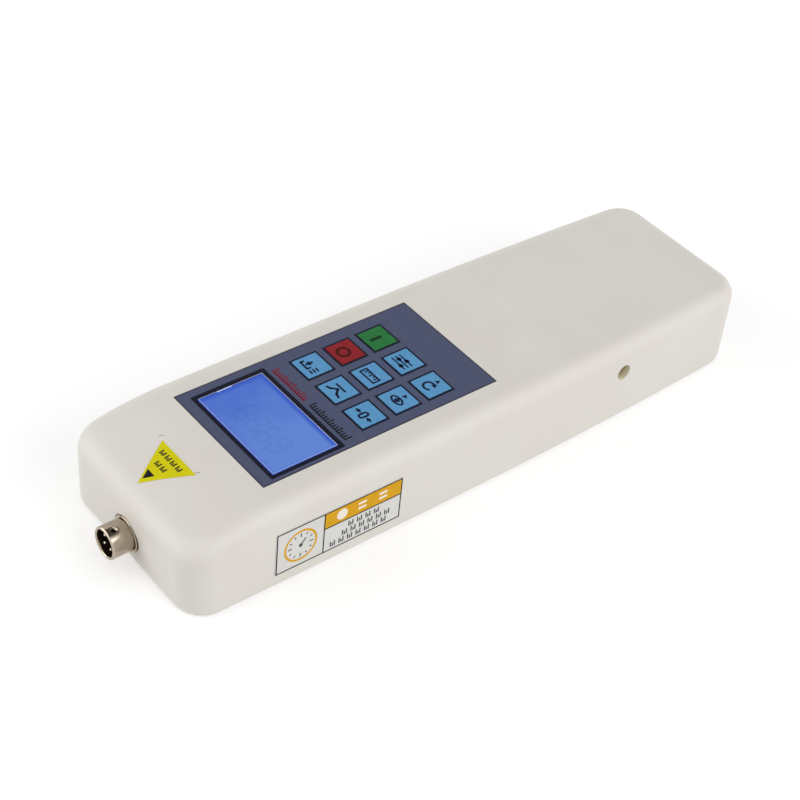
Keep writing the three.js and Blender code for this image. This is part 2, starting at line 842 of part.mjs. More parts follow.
function display() {
  const frame = roundedOutline(frameWidth, frameLength, frameCornerRadius);
  const paneWidth = frameWidth - 2 * frameBorder;
  const paneLength = frameLength - 2 * frameBorder;
  frame.holes.push(openingAt(paneWidth, paneLength, frameCornerRadius, 0, 0));
  const pane = plate(paneWidth - 2 * keyGap, paneLength - 2 * keyGap, filmThickness, frameCornerRadius);
  const bezel = cut(boxAt(bezelWidth, bezelLength, bezelTopZ - backlightZ, 0, 0, 0), [
    boxAt(moduleWidth + 2 * seatGap, moduleLength + 2 * seatGap, bezelTopZ - bezelLip - backlightZ, 0, 0, 0)
      .translate(0, 0, -seatGap),
    boxAt(moduleWidth - 2 * bezelLipReach, moduleLength - 2 * bezelLipReach, bodyHeight, 0, 0, 0),
  ]);
  const holes = displayBossPlaces().map(([x, y]) => {
    const diameter = displayBossPin + 2 * pilotGap;
    return post(diameter, boardThickness + 2 * overrun, x - displayX, y - displayY, -overrun);
  });
  const board = cut(boxAt(displayBoardWidth, displayBoardLength, boardThickness, 0, 0, 0), holes);
  const headerY = displayY + displayBoardLength / 2 - headerInset - headerWidth / 2;
  const header = boxAt(headerLength, headerWidth, displayBoardZ - seatGap - headerZ, 0, 0, 0);
  const glass = boxAt(moduleWidth, moduleLength, glassThickness, 0, 0, 0);
  const backlight = boxAt(moduleWidth, moduleLength, backlightThickness, 0, 0, 0);
  return groupOf(
    named("display_frame", plateOf(frame, filmThickness), darkTrim, displayX, displayY, panelFilmZ),
    named("display_window", pane, clearPane, displayX, displayY, panelFilmZ),
    named("lcd_bezel", bezel, blackPlastic, displayX, displayY, backlightZ),
    named("lcd_glass", glass, litBlue, displayX, displayY, glassZ),
    named("lcd_backlight", backlight, whitePlastic, displayX, displayY, backlightZ),
    named("lcd_board", board, boardGreen, displayX, displayY, displayBoardZ),
    named("display_header", header, blackPlastic, displayX, headerY, headerZ),
  );
}

function shieldCan() {
  const can = boxAt(shieldWidth, shieldLength, shieldHeight, 0, 0, 0);
  const hollow = boxAt(
    shieldWidth - 2 * shieldWall,
    shieldLength - 2 * shieldWall,
    shieldHeight - shieldWall + overrun,
    0,
    0,
    -overrun,
  );
  return cut(can, [hollow]);
}

function electronics() {
  const holes = standoffPlaces().map(([x, y]) => {
    return post(boardScrewDiameter + 2 * pilotGap, boardThickness + 2 * overrun, x, y - mainBoardY, -overrun);
  });
  const board = cut(boxAt(mainBoardWidth, mainBoardLength, boardThickness, 0, 0, 0), holes);
  const top = mainBoardTop + seatGap;
  const chip = boxAt(chipSize, chipSize, chipHeight, 0, 0, 0);
  const buzzer = cut(post(buzzerDiameter, buzzerHeight, 0, 0, 0, roundSteps), [
    post(buzzerHole, buzzerHoleDepth + overrun, 0, 0, buzzerHeight - buzzerHoleDepth),
  ]);
  const sensorPlug = boxAt(connectorWidth, connectorLength, connectorHeight, 0, 0, 0);
  const powerPlug = boxAt(powerConnectorWidth, connectorLength, connectorHeight, 0, 0, 0);
  const plugZ = connectorTop - connectorHeight;
  const endY = mainBoardLength / 2 - connectorLength / 2 - connectorEndInset;
  return groupOf(
    named("main_board", board, boardGreen, 0, mainBoardY, mainBoardZ),
    named("amplifier_shield", shieldCan(), steel, 0, mainBoardY + shieldFromBoardY, top),
    named("processor_chip", chip, blackPlastic, 0, mainBoardY + chipFromBoardY, top),
    named("buzzer", buzzer, blackPlastic, buzzerX, mainBoardY + buzzerFromBoardY, top),
    named("sensor_connector", sensorPlug, whitePlastic, 0, mainBoardY - endY, plugZ),
    named("power_connector", powerPlug, whitePlastic, 0, mainBoardY + endY, plugZ),
    ...boardScrews(),
  );
}

// The socket is turned about the Y axis. Its seat on the wall is at 0, and it points towards -Y.
function socketShell() {
  const flange = socketFlangeDiameter / 2;
  const shell = socketShellDiameter / 2;
  const neck = socketNeckDiameter / 2;
  const thread = socketThreadDiameter / 2;
  const bore = socketBore / 2;
  const neckStart = -socketFlangeThickness - socketNeckLength;
  const blank = turned(
    [
      [bore, -socketReach],
      [shell - socketRimChamfer, -socketReach],
      [shell, -socketReach + socketRimChamfer],
      [shell, neckStart],
      [neck, neckStart],
      [neck, -socketFlangeThickness],
      [flange - socketFlangeChamfer, -socketFlangeThickness],
      [flange, -socketFlangeThickness + socketFlangeChamfer],
      [flange, -seatGap],
      [thread, -seatGap],
      [thread, socketThreadLength],
      [bore, socketThreadLength],
      [bore, -socketReach],
    ],
    fineSteps,
  );
  const latch = post(latchHoleDiameter, socketShellDiameter, 0, -latchHoleFromSeat, 0);
  return cut(blank, [latch.rotateY(THREE.MathUtils.degToRad(latchHoleTurn))]);
}

function pinPlaces() {
  return Array.from({ length: pinCount }, (_, i) => {
    const angle = ((i + 0.5) / pinCount) * 2 * Math.PI;
    const radius = pinCircleDiameter / 2;
    return [radius * Math.cos(angle), radius * Math.sin(angle)];
  });
}

function sensorSocket() {
  const back = socketThreadLength;
  const core = barAlongY(socketBore - 2 * pilotGap, -insulatorFace, back, 0, 0, fineSteps);
  const pinHoles = pinPlaces().map(([x, z]) => {
    return barAlongY(pinDiameter + pilotGap, -insulatorFace - overrun, back + overrun, x, z, coarseSteps);
  });
  const tip = -insulatorFace - pinReach;
  const pin = turned(
    [
      [0, tip],
      [pinDiameter / 4, tip],
      [pinDiameter / 2, tip + pinDiameter / 2],
      [pinDiameter / 2, back + pinTail],
      [0, back + pinTail],
    ],
    coarseSteps,
  );
  const washerBore = socketThreadDiameter + looseGap;
  const washer = turned(
    [
      [washerBore / 2, 0],
      [washerDiameter / 2, 0],
      [washerDiameter / 2, washerThickness],
      [washerBore / 2, washerThickness],
      [washerBore / 2, 0],
    ],
    roundSteps,
  );
  const washerY = socketPanelThickness + seatGap;
  const nutY = washerY + washerThickness + seatGap;
  const nut = hexNut(socketNutAcrossFlats, socketNutThickness, washerBore);
  const group = groupOf(
    named("socket_shell", socketShell(), steel, 0, 0, 0),
    named("socket_insulator", cut(core, pinHoles), blackPlastic, 0, 0, 0),
    named("socket_washer", washer, steel, 0, washerY, 0),
    named("socket_nut", nut, steel, 0, nutY, 0),
    ...pinPlaces().map(([x, z], i) => named(`socket_pin_${i + 1}`, pin.clone(), brass, x, 0, z)),
  );
  group.position.set(0, socketSeatY, socketZ);
  return group;
}

function cells() {
  const radius = cellDiameter / 2;
  const tip = cellTipDiameter / 2;
  const shape = turned(
    [
      [0, -cellLength / 2],
      [radius - cellEdge, -cellLength / 2],
      [radius, -cellLength / 2 + cellEdge],
      [radius, cellLength / 2 - cellTipLength - cellEdge],
      [radius - cellEdge, cellLength / 2 - cellTipLength],
      [tip, cellLength / 2 - cellTipLength],
      [tip, cellLength / 2],
      [0, cellLength / 2],
    ],
    roundSteps,
  );
  const z = coverThickness + cradleWall + radius + 2 * seatGap;
  const pitch = cellDiameter + looseGap;
  return Array.from({ length: cellCount }, (_, i) => {
    const x = (i - (cellCount - 1) / 2) * pitch;
    return named(`battery_cell_${i + 1}`, shape.clone(), cellWrap, x, cradleY, z);
  });
}

function cradle() {
  const outer = boxAt(cradleWidth, cradleLength, cradleHeight, 0, 0, 0);
  return cut(outer, [boxAt(trayWidth, trayLength, cradleHeight, 0, 0, cradleWall)]);
}

function battery() {
  return groupOf(
    named("battery_cradle", cradle(), blackPlastic, 0, cradleY, coverThickness + seatGap),
    ...cells(),
  );
}

// The far end's sockets point towards +Y; their seat on the wall's outer face is at 0.
function chargeJack() {
  const flange = jackFlangeDiameter / 2;
  const barrel = jackBarrelDiameter / 2;
  const bore = jackBore / 2;
  const pin = jackPinDiameter / 2;
  const floor = jackFlangeThickness - jackBoreDepth;
  return turned(
    [
      [0, -jackBarrelLength],
      [barrel, -jackBarrelLength],
      [barrel, seatGap],
      [flange, seatGap],
      [flange, jackFlangeThickness - jackFlangeChamfer],
      [flange - jackFlangeChamfer, jackFlangeThickness],
      [bore, jackFlangeThickness],
      [bore, floor],
      [pin, floor],
      [pin, jackFlangeThickness - jackPinSetback],
      [0, jackFlangeThickness - jackPinSetback],
    ],
    roundSteps,
  );
}

function ports() {
  const shellOutline = roundedOutline(portWidth, portHeight, portShell * 2);
  const mouthWidth = portWidth - 2 * portShell;
  const mouthHeight = portHeight - 2 * portShell;
  shellOutline.holes.push(openingAt(mouthWidth, mouthHeight, portShell, 0, 0));
  const shell = plateOf(shellOutline, portDepth).rotateX(Math.PI / 2);
  const base = new THREE.BoxGeometry(portWidth - portShell, portBase, portHeight - portShell);
  const tongueLength = portDepth - portTongueSetback;
  const tongue = new THREE.BoxGeometry(portTongueWidth, tongueLength, portTongueHeight);
  const port = join([
    shell,
    base.translate(0, -portDepth + portBase / 2, 0),
    tongue.translate(0, -portDepth + tongueLength / 2, 0),
  ]);
  const [[, boardY]] = portPostPlaces();
  const holes = portPostPlaces().map(([x]) => {
    return post(portPostPin + 2 * pilotGap, boardThickness + 2 * overrun, x - portX, 0, -overrun);
  });
  const board = cut(boxAt(portBoardWidth(), portBoardLength, boardThickness, 0, 0, 0), holes);
  const portZ = portBoardZ + boardThickness + seatGap + portHeight / 2;
  const portY = farWallY - looseGap;
  const nut = hexNut(jackNutAcrossFlats, jackNutThickness, jackBarrelDiameter + looseGap);
  const nutY = farWallY - wallThickness - seatGap - jackNutThickness;
  return groupOf(
    named("charge_jack", chargeJack(), blackPlastic, jackX, farWallY, jackZ),
    named("charge_jack_nut", nut, steel, jackX, nutY, jackZ),
    named("data_port", port, steel, portX, portY, portZ),
    named("port_board", board, boardGreen, portX, boardY, portBoardZ),
  );
}

// Leads inside the housing, each along its own route from piece to piece.
function leads() {
  const connectorFace = mainBoardLength / 2 - connectorEndInset;
  const socketBack = socketSeatY + socketThreadLength + pinTail + looseGap;
  const sensorEnd = mainBoardY - connectorFace - looseGap;
  const batteryStart = mainBoardY + connectorFace + looseGap;
  const cradleFace = cradleNearY - looseGap;
  const leadZ = coverThickness + cradleHeight - batteryLeadDiameter / 2;
  const [[, boardY]] = portPostPlaces();
  const portEdge = boardY - portBoardLength / 2;
  const underBoard = portBoardZ - portCableDiameter / 2 - looseGap;
  const sideX = cradleWidth / 2 + portCableDiameter;
  const sensorRoute = [
    [0, socketBack, socketZ],
    [0, (socketBack + sensorEnd) / 2, (socketZ + connectorZ) / 2],
    [0, sensorEnd, connectorZ],
  ];
  const batteryRoute = [
    [batteryPlugX, batteryStart, connectorZ],
    [batteryPlugX, (batteryStart + cradleFace) / 2, (connectorZ + leadZ) / 2],
    [batteryPlugX, cradleFace, leadZ],
  ];
  const portRoute = [
    [portX, portEdge + portCableDiameter, underBoard],
    [portX + portCableDiameter, portEdge - 3 * portCableDiameter, underBoard],
    [sideX, cradleNearY + cradleLength + portCableDiameter, portCableZ],
    [sideX, cradleY, portCableZ],
    [sideX, cradleNearY + portCableDiameter, portCableZ],
    [sideX - portCableDiameter / 2, cradleNearY - portCableDiameter, portCableZ],
    [sideX - 2 * portCableDiameter, cradleNearY - 1.2 * portCableDiameter, portCableZ],
    [portPlugX + 1.5 * portCableDiameter, cradleNearY - portCableDiameter, connectorZ],
    [portPlugX, batteryStart + 0.8 * portCableDiameter, connectorZ],
    [portPlugX, batteryStart, connectorZ],
  ];
  return groupOf(
    named("sensor_cable", tube(sensorRoute, sensorCableDiameter), greyCable, 0, 0, 0),
    named("battery_lead", tube(batteryRoute, batteryLeadDiameter), greyCable, 0, 0, 0),
    named("port_cable", tube(portRoute, portCableDiameter), greyCable, 0, 0, 0),
  );
}

// A thin sheet that follows a surface: rows of points on its under side, each with the way out from the skin.
function sheetOver(rows, outward) {
  const lower = [];
  const upper = [];
  for (const row of rows) {
    lower.push(row.map((point) => point.clone().addScaledVector(outward, seatGap)));
    upper.push(row.map((point) => point.clone().addScaledVector(outward, seatGap + stickerThickness)));
  }
  const across = rows[0].length;
  const positions = [...lower.flat(), ...upper.flat()].flatMap((point) => point.toArray());
  const lift = rows.length * across;
  const faces = [];
  const quad = (a, b, c, d) => faces.push(a, b, c, a, c, d);
  for (let row = 0; row + 1 < rows.length; row++) {
    for (let i = 0; i + 1 < across; i++) {
      const a = row * across + i;
      quad(lift + a, lift + a + 1, lift + a + across + 1, lift + a + across);
      quad(a + across, a + across + 1, a + 1, a);
    }
    const start = row * across;
    const end = start + across - 1;
    quad(start, lift + start, lift + start + across, start + across);
    quad(end + across, lift + end + across, lift + end, end);
  }
  for (let i = 0; i + 1 < across; i++) {
    const last = (rows.length - 1) * across + i;
    quad(i + 1, lift + i + 1, lift + i, i);
    quad(last, lift + last, lift + last + 1, last + 1);
  }
  const geometry = new THREE.BufferGeometry();
  geometry.setAttribute("position", new THREE.Float32BufferAttribute(positions, 3));
  geometry.setIndex(faces);
  return geometry;
}

function steps(count) {
  return Array.from({ length: count + 1 }, (_, i) => i / count);
}

function sideLabel() {
  const rows = steps(1).map((up) => {
    const z = sideLabelZ + sideLabelHeight * (up - 0.5);
    return steps(sideSteps).map((along) => {
      const y = sideLabelY + sideLabelLength * (along - 0.5);
      return new THREE.Vector3(sideXAt(y, z), y, z);
    });
  });
  return sheetOver(rows, new THREE.Vector3(1, 0, 0));
}

// A triangle that points down the nose, with its broad side square across it.
function noseSticker() {
  const tipShare = 0.02;
  const rows = steps(noseSteps).map((down) => {
    const y = noseStickerBaseY - noseStickerLength * (1 - down);
    const half = (noseStickerWidth / 2) * Math.max(down, tipShare);
    const z = roofHeightAt(y);
    return [-half, half].map((x) => new THREE.Vector3(noseStickerX + x, y, z));
  });
  return sheetOver(rows, new THREE.Vector3(0, 0, 1));
}

const gauge = groupOf(
  groupOf(
    named("front_housing", frontHousing(), cream, 0, 0, 0),
    named("rear_cover", rearCover(), cream, 0, 0, 0),
    ...coverScrews(),
  ),
  keypad(),
  display(),
  electronics(),
  sensorSocket(),
  battery(),
  ports(),
  leads(),
  groupOf(
    named("side_label", sideLabel(), whiteSticker, 0, 0, 0),
    named("nose_sticker", noseSticker(), yellowSticker, 0, 0, 0),
  ),
);

export default gauge;
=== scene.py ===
# %% [markdown]
# # A hand-held digital force gauge
# This notebook dresses the engineering model of a force gauge. The model brings every piece at its real size
# and place, in metres: +X is the display's right, +Y runs from the sensor socket to the far end, and +Z is
# out of the display. What shows from outside is modelled again here with finer edges and printing. The
# pieces inside keep their shape and get a finish.

# %% Load the model
import json
import math

import bmesh
import bpy
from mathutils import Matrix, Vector


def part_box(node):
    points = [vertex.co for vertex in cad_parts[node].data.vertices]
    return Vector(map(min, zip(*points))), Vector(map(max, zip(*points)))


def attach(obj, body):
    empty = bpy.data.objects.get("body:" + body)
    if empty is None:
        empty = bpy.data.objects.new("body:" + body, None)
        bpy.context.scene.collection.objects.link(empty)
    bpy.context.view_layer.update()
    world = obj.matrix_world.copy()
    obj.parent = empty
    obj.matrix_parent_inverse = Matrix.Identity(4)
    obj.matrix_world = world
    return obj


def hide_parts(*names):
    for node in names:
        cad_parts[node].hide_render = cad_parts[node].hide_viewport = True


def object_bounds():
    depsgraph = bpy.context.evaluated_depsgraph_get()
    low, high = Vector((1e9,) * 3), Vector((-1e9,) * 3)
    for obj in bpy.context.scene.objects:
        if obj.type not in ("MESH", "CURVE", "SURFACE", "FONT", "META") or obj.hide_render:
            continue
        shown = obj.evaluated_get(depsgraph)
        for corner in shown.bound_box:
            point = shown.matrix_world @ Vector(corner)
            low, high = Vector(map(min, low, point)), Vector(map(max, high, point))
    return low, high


MM = 0.001
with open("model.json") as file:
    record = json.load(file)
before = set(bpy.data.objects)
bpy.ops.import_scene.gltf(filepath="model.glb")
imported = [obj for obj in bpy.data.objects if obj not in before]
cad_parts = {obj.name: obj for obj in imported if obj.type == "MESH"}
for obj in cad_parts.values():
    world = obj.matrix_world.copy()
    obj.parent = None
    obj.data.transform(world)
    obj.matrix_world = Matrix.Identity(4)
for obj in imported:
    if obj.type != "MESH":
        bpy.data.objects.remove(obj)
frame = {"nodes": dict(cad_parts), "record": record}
nodes = frame["nodes"]
cad_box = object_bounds()
sides = [round(side / MM, 1) for side in cad_box[1] - cad_box[0]]
print(len(nodes), "pieces arrive, in a box of", sides, "mm")

# %% [markdown]
# ## The camera
# The gauge was photographed from its near right corner, from above, with a long lens and a slightly tilted
# camera. A camera is easiest to place round a point that it looks at: two angles and a distance put it
# there, the roll tilts the picture, and a small slide sideways and up moves the gauge in the picture
# without a lens shift.

# %% Place the camera
PICTURE_PIXELS = 800
CAMERA_AZIMUTH = math.radians(45.617)
CAMERA_ELEVATION = math.radians(40.568)
CAMERA_ROLL = math.radians(8.327)
CAMERA_DISTANCE = 544.59 * MM
CAMERA_SLIDE = Vector((18.777, -3.411)) * MM
CAMERA_NEAREST = 10 * MM
LENS_PIXELS = 1784.77
LOOKED_AT = Vector((0, -38.481, 31)) * MM


def camera_axes():
    """The camera's right, up and back directions in the gauge's frame."""
    level, height = math.cos(CAMERA_ELEVATION), math.sin(CAMERA_ELEVATION)
    back = Vector((math.sin(CAMERA_AZIMUTH) * level, -math.cos(CAMERA_AZIMUTH) * level, height))
    flat_right = Vector((0, 0, 1)).cross(back).normalized()
    flat_up = back.cross(flat_right)
    turn, lift = math.cos(CAMERA_ROLL), math.sin(CAMERA_ROLL)
    return turn * flat_right + lift * flat_up, turn * flat_up - lift * flat_right, back


def place_camera():
    right, up, back = camera_axes()
    bpy.ops.object.camera_add()
    camera = bpy.context.active_object
    camera.name = "photo_camera"
    camera.location = LOOKED_AT + back * CAMERA_DISTANCE + right * CAMERA_SLIDE.x + up * CAMERA_SLIDE.y
    rotation = camera.matrix_world.to_3x3()
    for row in range(3):
        rotation[row] = right[row], up[row], back[row]
    camera.rotation_euler = rotation.to_euler()
    camera.data.lens = LENS_PIXELS / PICTURE_PIXELS * camera.data.sensor_width
    camera.data.clip_start = CAMERA_NEAREST
    bpy.context.scene.camera = camera
    return camera


camera = place_camera()
print("lens", round(camera.data.lens, 2), "mm, at", [round(place / MM) for place in camera.location], "mm")

# %% [markdown]
# ## The studio
# A product picture like this one is taken in a light tent: soft light from everywhere, a little more from
# the right, and a floor so bright that only the shadow under the gauge shows. An even world does most of
# the lighting here. The camera sees it at full white, and rays that carry light get less of it, so the
# gauge isn't burnt out. A display would mirror the tent and turn pale, so a photographer holds a dark card
# where it looks. Here the world itself is dark in that direction, for mirrored rays only.
#
# Worlds and materials are both made of nodes, so a few helpers add them: a node with its inputs, a sum, a
# change of range, a mix, and a whole material.

# %% Floor, world and lamps
FLOOR_SIZE = 6.0
FLOOR_GAP = 0.1 * MM
FLOOR_TONE = (0.8, 0.8, 0.8, 1)
FLOOR_LIFT = 0.36
WORLD_LEVEL = 0.615
CARD_DIRECTION = Vector((-0.2, 0.53, 0.82))
CARD_INNER = math.radians(24)
CARD_OUTER = math.radians(42)
CARD_LEVEL = 0.1
TENT_LEVEL = 1.4
LAMP_SIZE = 1.4


def node_tree(owner):
    """Empties an owner's node tree, and gives the function that adds a node to it."""
    owner.use_nodes = True
    tree = owner.node_tree
    tree.nodes.clear()

    def add(kind, inputs=None, **settings):
        """A new node. Each input is a constant, or another node's output, which is linked."""
        node = tree.nodes.new(kind)
        for name, value in settings.items():
            setattr(node, name, value)
        for socket, value in (inputs or {}).items():
            if isinstance(value, bpy.types.NodeSocket):
                tree.links.new(value, node.inputs[socket])
            else:
                node.inputs[socket].default_value = value
        return node

    return add


def calculate(add, operation, *values):
    return add("ShaderNodeMath", dict(enumerate(values)), operation=operation).outputs[0]


def between(add, value, low, high, start=0.0, end=1.0, shape="LINEAR"):
    """Moves a value from the range low to high into the range start to end, and holds it at the ends."""
    inputs = {"Value": value, "From Min": low, "From Max": high, "To Min": start, "To Max": end}
    return add("ShaderNodeMapRange", inputs, interpolation_type=shape).outputs["Result"]


def mix(add, kind, factor, first, second):
    inputs = {"Factor": factor, "A": first, "B": second}
    return add("ShaderNodeMix", inputs, data_type=kind).outputs["Result"]


def material(name, surface, *values):
    """A material. Its surface is a function that adds the nodes and returns the last shader."""
    made = bpy.data.materials.new(name)
    add = node_tree(made)
    add("ShaderNodeOutputMaterial", {"Surface": surface(add, *values).outputs[0]})
    return made


def tent_level(add):
    """What a mirror or a gloss finds in a direction: white tent, but dark where the card stands."""
    inputs = {0: add("ShaderNodeTexCoord").outputs["Generated"], 1: CARD_DIRECTION.normalized()}
    towards = add("ShaderNodeVectorMath", inputs, operation="DOT_PRODUCT").outputs["Value"]
    outer, inner = math.cos(CARD_OUTER), math.cos(CARD_INNER)
    return between(add, towards, outer, inner, TENT_LEVEL, CARD_LEVEL, "SMOOTHSTEP")


def light_world():
    world = bpy.data.worlds.new("light_tent")
    add = node_tree(world)
    ray = add("ShaderNodeLightPath").outputs
    level = mix(add, "FLOAT", ray["Is Glossy Ray"], WORLD_LEVEL, tent_level(add))
    seen = calculate(add, "MAXIMUM", level, ray["Is Camera Ray"])
    light = add("ShaderNodeBackground", {"Color": (1, 1, 1, 1), "Strength": seen})
    add("ShaderNodeOutputWorld", {"Surface": light.outputs[0]})
    bpy.context.scene.world = world


def pale_paper(add):
    """Matt paper that a direct look finds a little brighter, so that only shadows stay darker than white."""
    ray = add("ShaderNodeLightPath").outputs
    mirrored = calculate(add, "MAXIMUM", ray["Is Camera Ray"], ray["Is Glossy Ray"])
    direct = calculate(add, "MAXIMUM", mirrored, ray["Is Transmission Ray"])
    matt = add("ShaderNodeBsdfDiffuse", {"Color": FLOOR_TONE})
    glow = add("ShaderNodeEmission", {"Strength": calculate(add, "MULTIPLY", direct, FLOOR_LIFT)})
    return add("ShaderNodeAddShader", {0: matt.outputs[0], 1: glow.outputs[0]})


def add_lamp(name, place, power):
    """A square soft lamp at a place in metres, aimed at the gauge."""
    bpy.ops.object.light_add(type="AREA", location=place)
    lamp = bpy.context.active_object
    lamp.name = name
    lamp.data.size = LAMP_SIZE
    lamp.data.energy = power
    lamp.rotation_euler = (Vector((0, 0, 0)) - lamp.location).to_track_quat("-Z", "Y").to_euler()


bpy.ops.mesh.primitive_plane_add(size=FLOOR_SIZE, location=(0, 0, -FLOOR_GAP))
floor = bpy.context.active_object
floor.name = "floor"
floor.data.materials.append(material("pale_paper", pale_paper))
light_world()
add_lamp("key_lamp", (1.4, 0.4, 0.8), 10.8)
add_lamp("fill_lamp", (-0.9, -1.3, 0.45), 11)
bpy.context.scene.view_settings.view_transform = "Standard"

# %% [markdown]
# ## Finishes
# Moulded plastic isn't one flat colour. Its skin is very slightly mottled, its gloss varies a little, and
# it is never quite even when light skims it. One function makes such a finish for nearly every piece: a
# broad noise moves the colour between two close tones, a second one moves the roughness, and a fine one is
# a bump map. All three read Object coordinates, so they stay on the piece when it moves. The pane, the
# boards and the cells show more than mottle, so each has nodes of its own.

# %% The finishes of the model's materials
BUMP_HEIGHT = 0.1 * MM
SHINY, SATIN, MATT = (0.12, 0.2), (0.4, 0.5), (0.5, 0.6)
PANE_ROUGHNESS = 0.04
PANE_IOR = 1.22
TRACK_BLOCK = 9 * MM
TRACK_PITCH = 1.1 * MM
TRACK_SHARE = 0.36
TURNED_BLOCKS = 0.55
FILLED_BLOCKS = 0.75
PAD_PITCH = 2.54 * MM
PAD_SCATTER = 0.35
WRAP_MOTTLE = 6 * MM
WRAP_EDGE = 0.1 * MM
BARE_END = 1.6 * MM


def tone(red, green, blue):
    """A colour as seen on a screen, from 0 to 255, as the shader's own linear colour."""
    def linear(level):
        level /= 255
        return level / 12.92 if level <= 0.04045 else ((level + 0.055) / 1.055) ** 2.4
    return linear(red), linear(green), linear(blue), 1.0


def own_place(add):
    """A point's place on its piece, whole, and as X, Y and Z."""
    place = add("ShaderNodeTexCoord").outputs["Object"]
    return place, add("ShaderNodeSeparateXYZ", {"Vector": place}).outputs


def noise(add, size, detail=3.0):
    """Noise with features of about this size in metres, from 0 to 1."""
    inputs = {"Vector": add("ShaderNodeTexCoord").outputs["Object"], "Scale": 1 / size, "Detail": detail}
    return add("ShaderNodeTexNoise", inputs).outputs["Fac"]


def blend(add, factor, first, second, low=0.3, high=0.7):
    """A colour between two screen tones, as the factor goes from low to high."""
    ramp = add("ShaderNodeValToRGB", {"Fac": factor})
    for stop, place, levels in zip(ramp.color_ramp.elements, (low, high), (first, second)):
        stop.position = place
        stop.color = tone(*levels)
    return ramp.outputs["Color"]


def mottled(add, first, second, rough, metal, mottle, grain, bump, specular):
    relief = {"Strength": bump, "Distance": BUMP_HEIGHT, "Height": noise(add, grain)}
    return add("ShaderNodeBsdfPrincipled", {
        "Base Color": blend(add, noise(add, mottle), first, second),
        "Metallic": metal,
        "Roughness": between(add, noise(add, mottle / 3), 0, 1, *rough),
        "Specular IOR Level": specular,
        "Normal": add("ShaderNodeBump", relief).outputs["Normal"],
    })


def finish(name, first, second, rough, metal=0.0, mottle=9.0, grain=0.35, bump=0.05, specular=0.5):
    """A mottled, slightly uneven finish: two tones, lowest and highest roughness, then sizes in mm."""
    return material(name, mottled, first, second, rough, metal, mottle * MM, grain * MM, bump, specular)


def film(name, first, second, mottle=1.0):
    """Printed film: its texture scatters what it mirrors, so it keeps its full colour."""
    return finish(name, first, second, MATT, mottle=mottle, specular=0.12)


def window(add, glossy):
    """See-through, and where glossy, with a gloss that grows towards a grazing look."""
    clear = add("ShaderNodeBsdfTransparent")
    if not glossy:
        return clear
    share = add("ShaderNodeFresnel", {"IOR": PANE_IOR})
    gloss = add("ShaderNodeBsdfGlossy", {"Roughness": PANE_ROUGHNESS})
    return add("ShaderNodeMixShader", {0: share.outputs[0], 1: clear.outputs[0], 2: gloss.outputs[0]})


def board(add):
    """Green solder mask over blocks of fine copper tracks, some along X, some along Y, with tinned pads."""
    place, axes = own_place(add)
    square = {"feature": "F1", "distance": "CHEBYCHEV"}
    blocks = add("ShaderNodeTexVoronoi", {"Vector": place, "Scale": 1 / TRACK_BLOCK}, **square)
    choice = add("ShaderNodeSeparateColor", {"Color": blocks.outputs["Color"]}).outputs
    rows = [calculate(add, "FRACT", calculate(add, "DIVIDE", axes[axis], TRACK_PITCH)) for axis in ("X", "Y")]
    run = mix(add, "FLOAT", calculate(add, "GREATER_THAN", choice["Red"], TURNED_BLOCKS), *rows)
    filled = calculate(add, "LESS_THAN", choice["Green"], FILLED_BLOCKS)
    track = calculate(add, "MULTIPLY", calculate(add, "LESS_THAN", run, TRACK_SHARE), filled)
    mask = blend(add, track, (26, 98, 54), (52, 134, 78), 0.0, 1.0)
    spots = {"Vector": place, "Scale": 1 / PAD_PITCH, "Randomness": PAD_SCATTER}
    pads = add("ShaderNodeTexVoronoi", spots, **square)
    tinned = between(add, pads.outputs["Distance"], 0.2, 0.17)
    both = mix(add, "RGBA", tinned, mask, tone(196, 196, 190))
    return add("ShaderNodeBsdfPrincipled", {"Base Color": both, "Metallic": tinned, "Roughness": 0.32})


def depth_inside(add, node, axis):
    """How far a point lies from the nearer end of a node's box along an axis, in metres."""
    low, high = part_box(node)
    off = calculate(add, "SUBTRACT", own_place(add)[1][axis], (low[axis] + high[axis]) / 2)
    return calculate(add, "SUBTRACT", (high[axis] - low[axis]) / 2, calculate(add, "ABSOLUTE", off))


def cell(add):
    """Shrunk green wrap with bare steel at both ends of a cell."""
    low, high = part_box("battery_cell_1")
    along = max(range(3), key=lambda axis: high[axis] - low[axis])
    bare = between(add, depth_inside(add, "battery_cell_1", along), BARE_END, BARE_END - WRAP_EDGE)
    wrapped = blend(add, noise(add, WRAP_MOTTLE), (52, 132, 98), (62, 148, 110))
    both = mix(add, "RGBA", bare, wrapped, tone(200, 198, 192))
    return add("ShaderNodeBsdfPrincipled", {"Base Color": both, "Metallic": bare, "Roughness": 0.3})


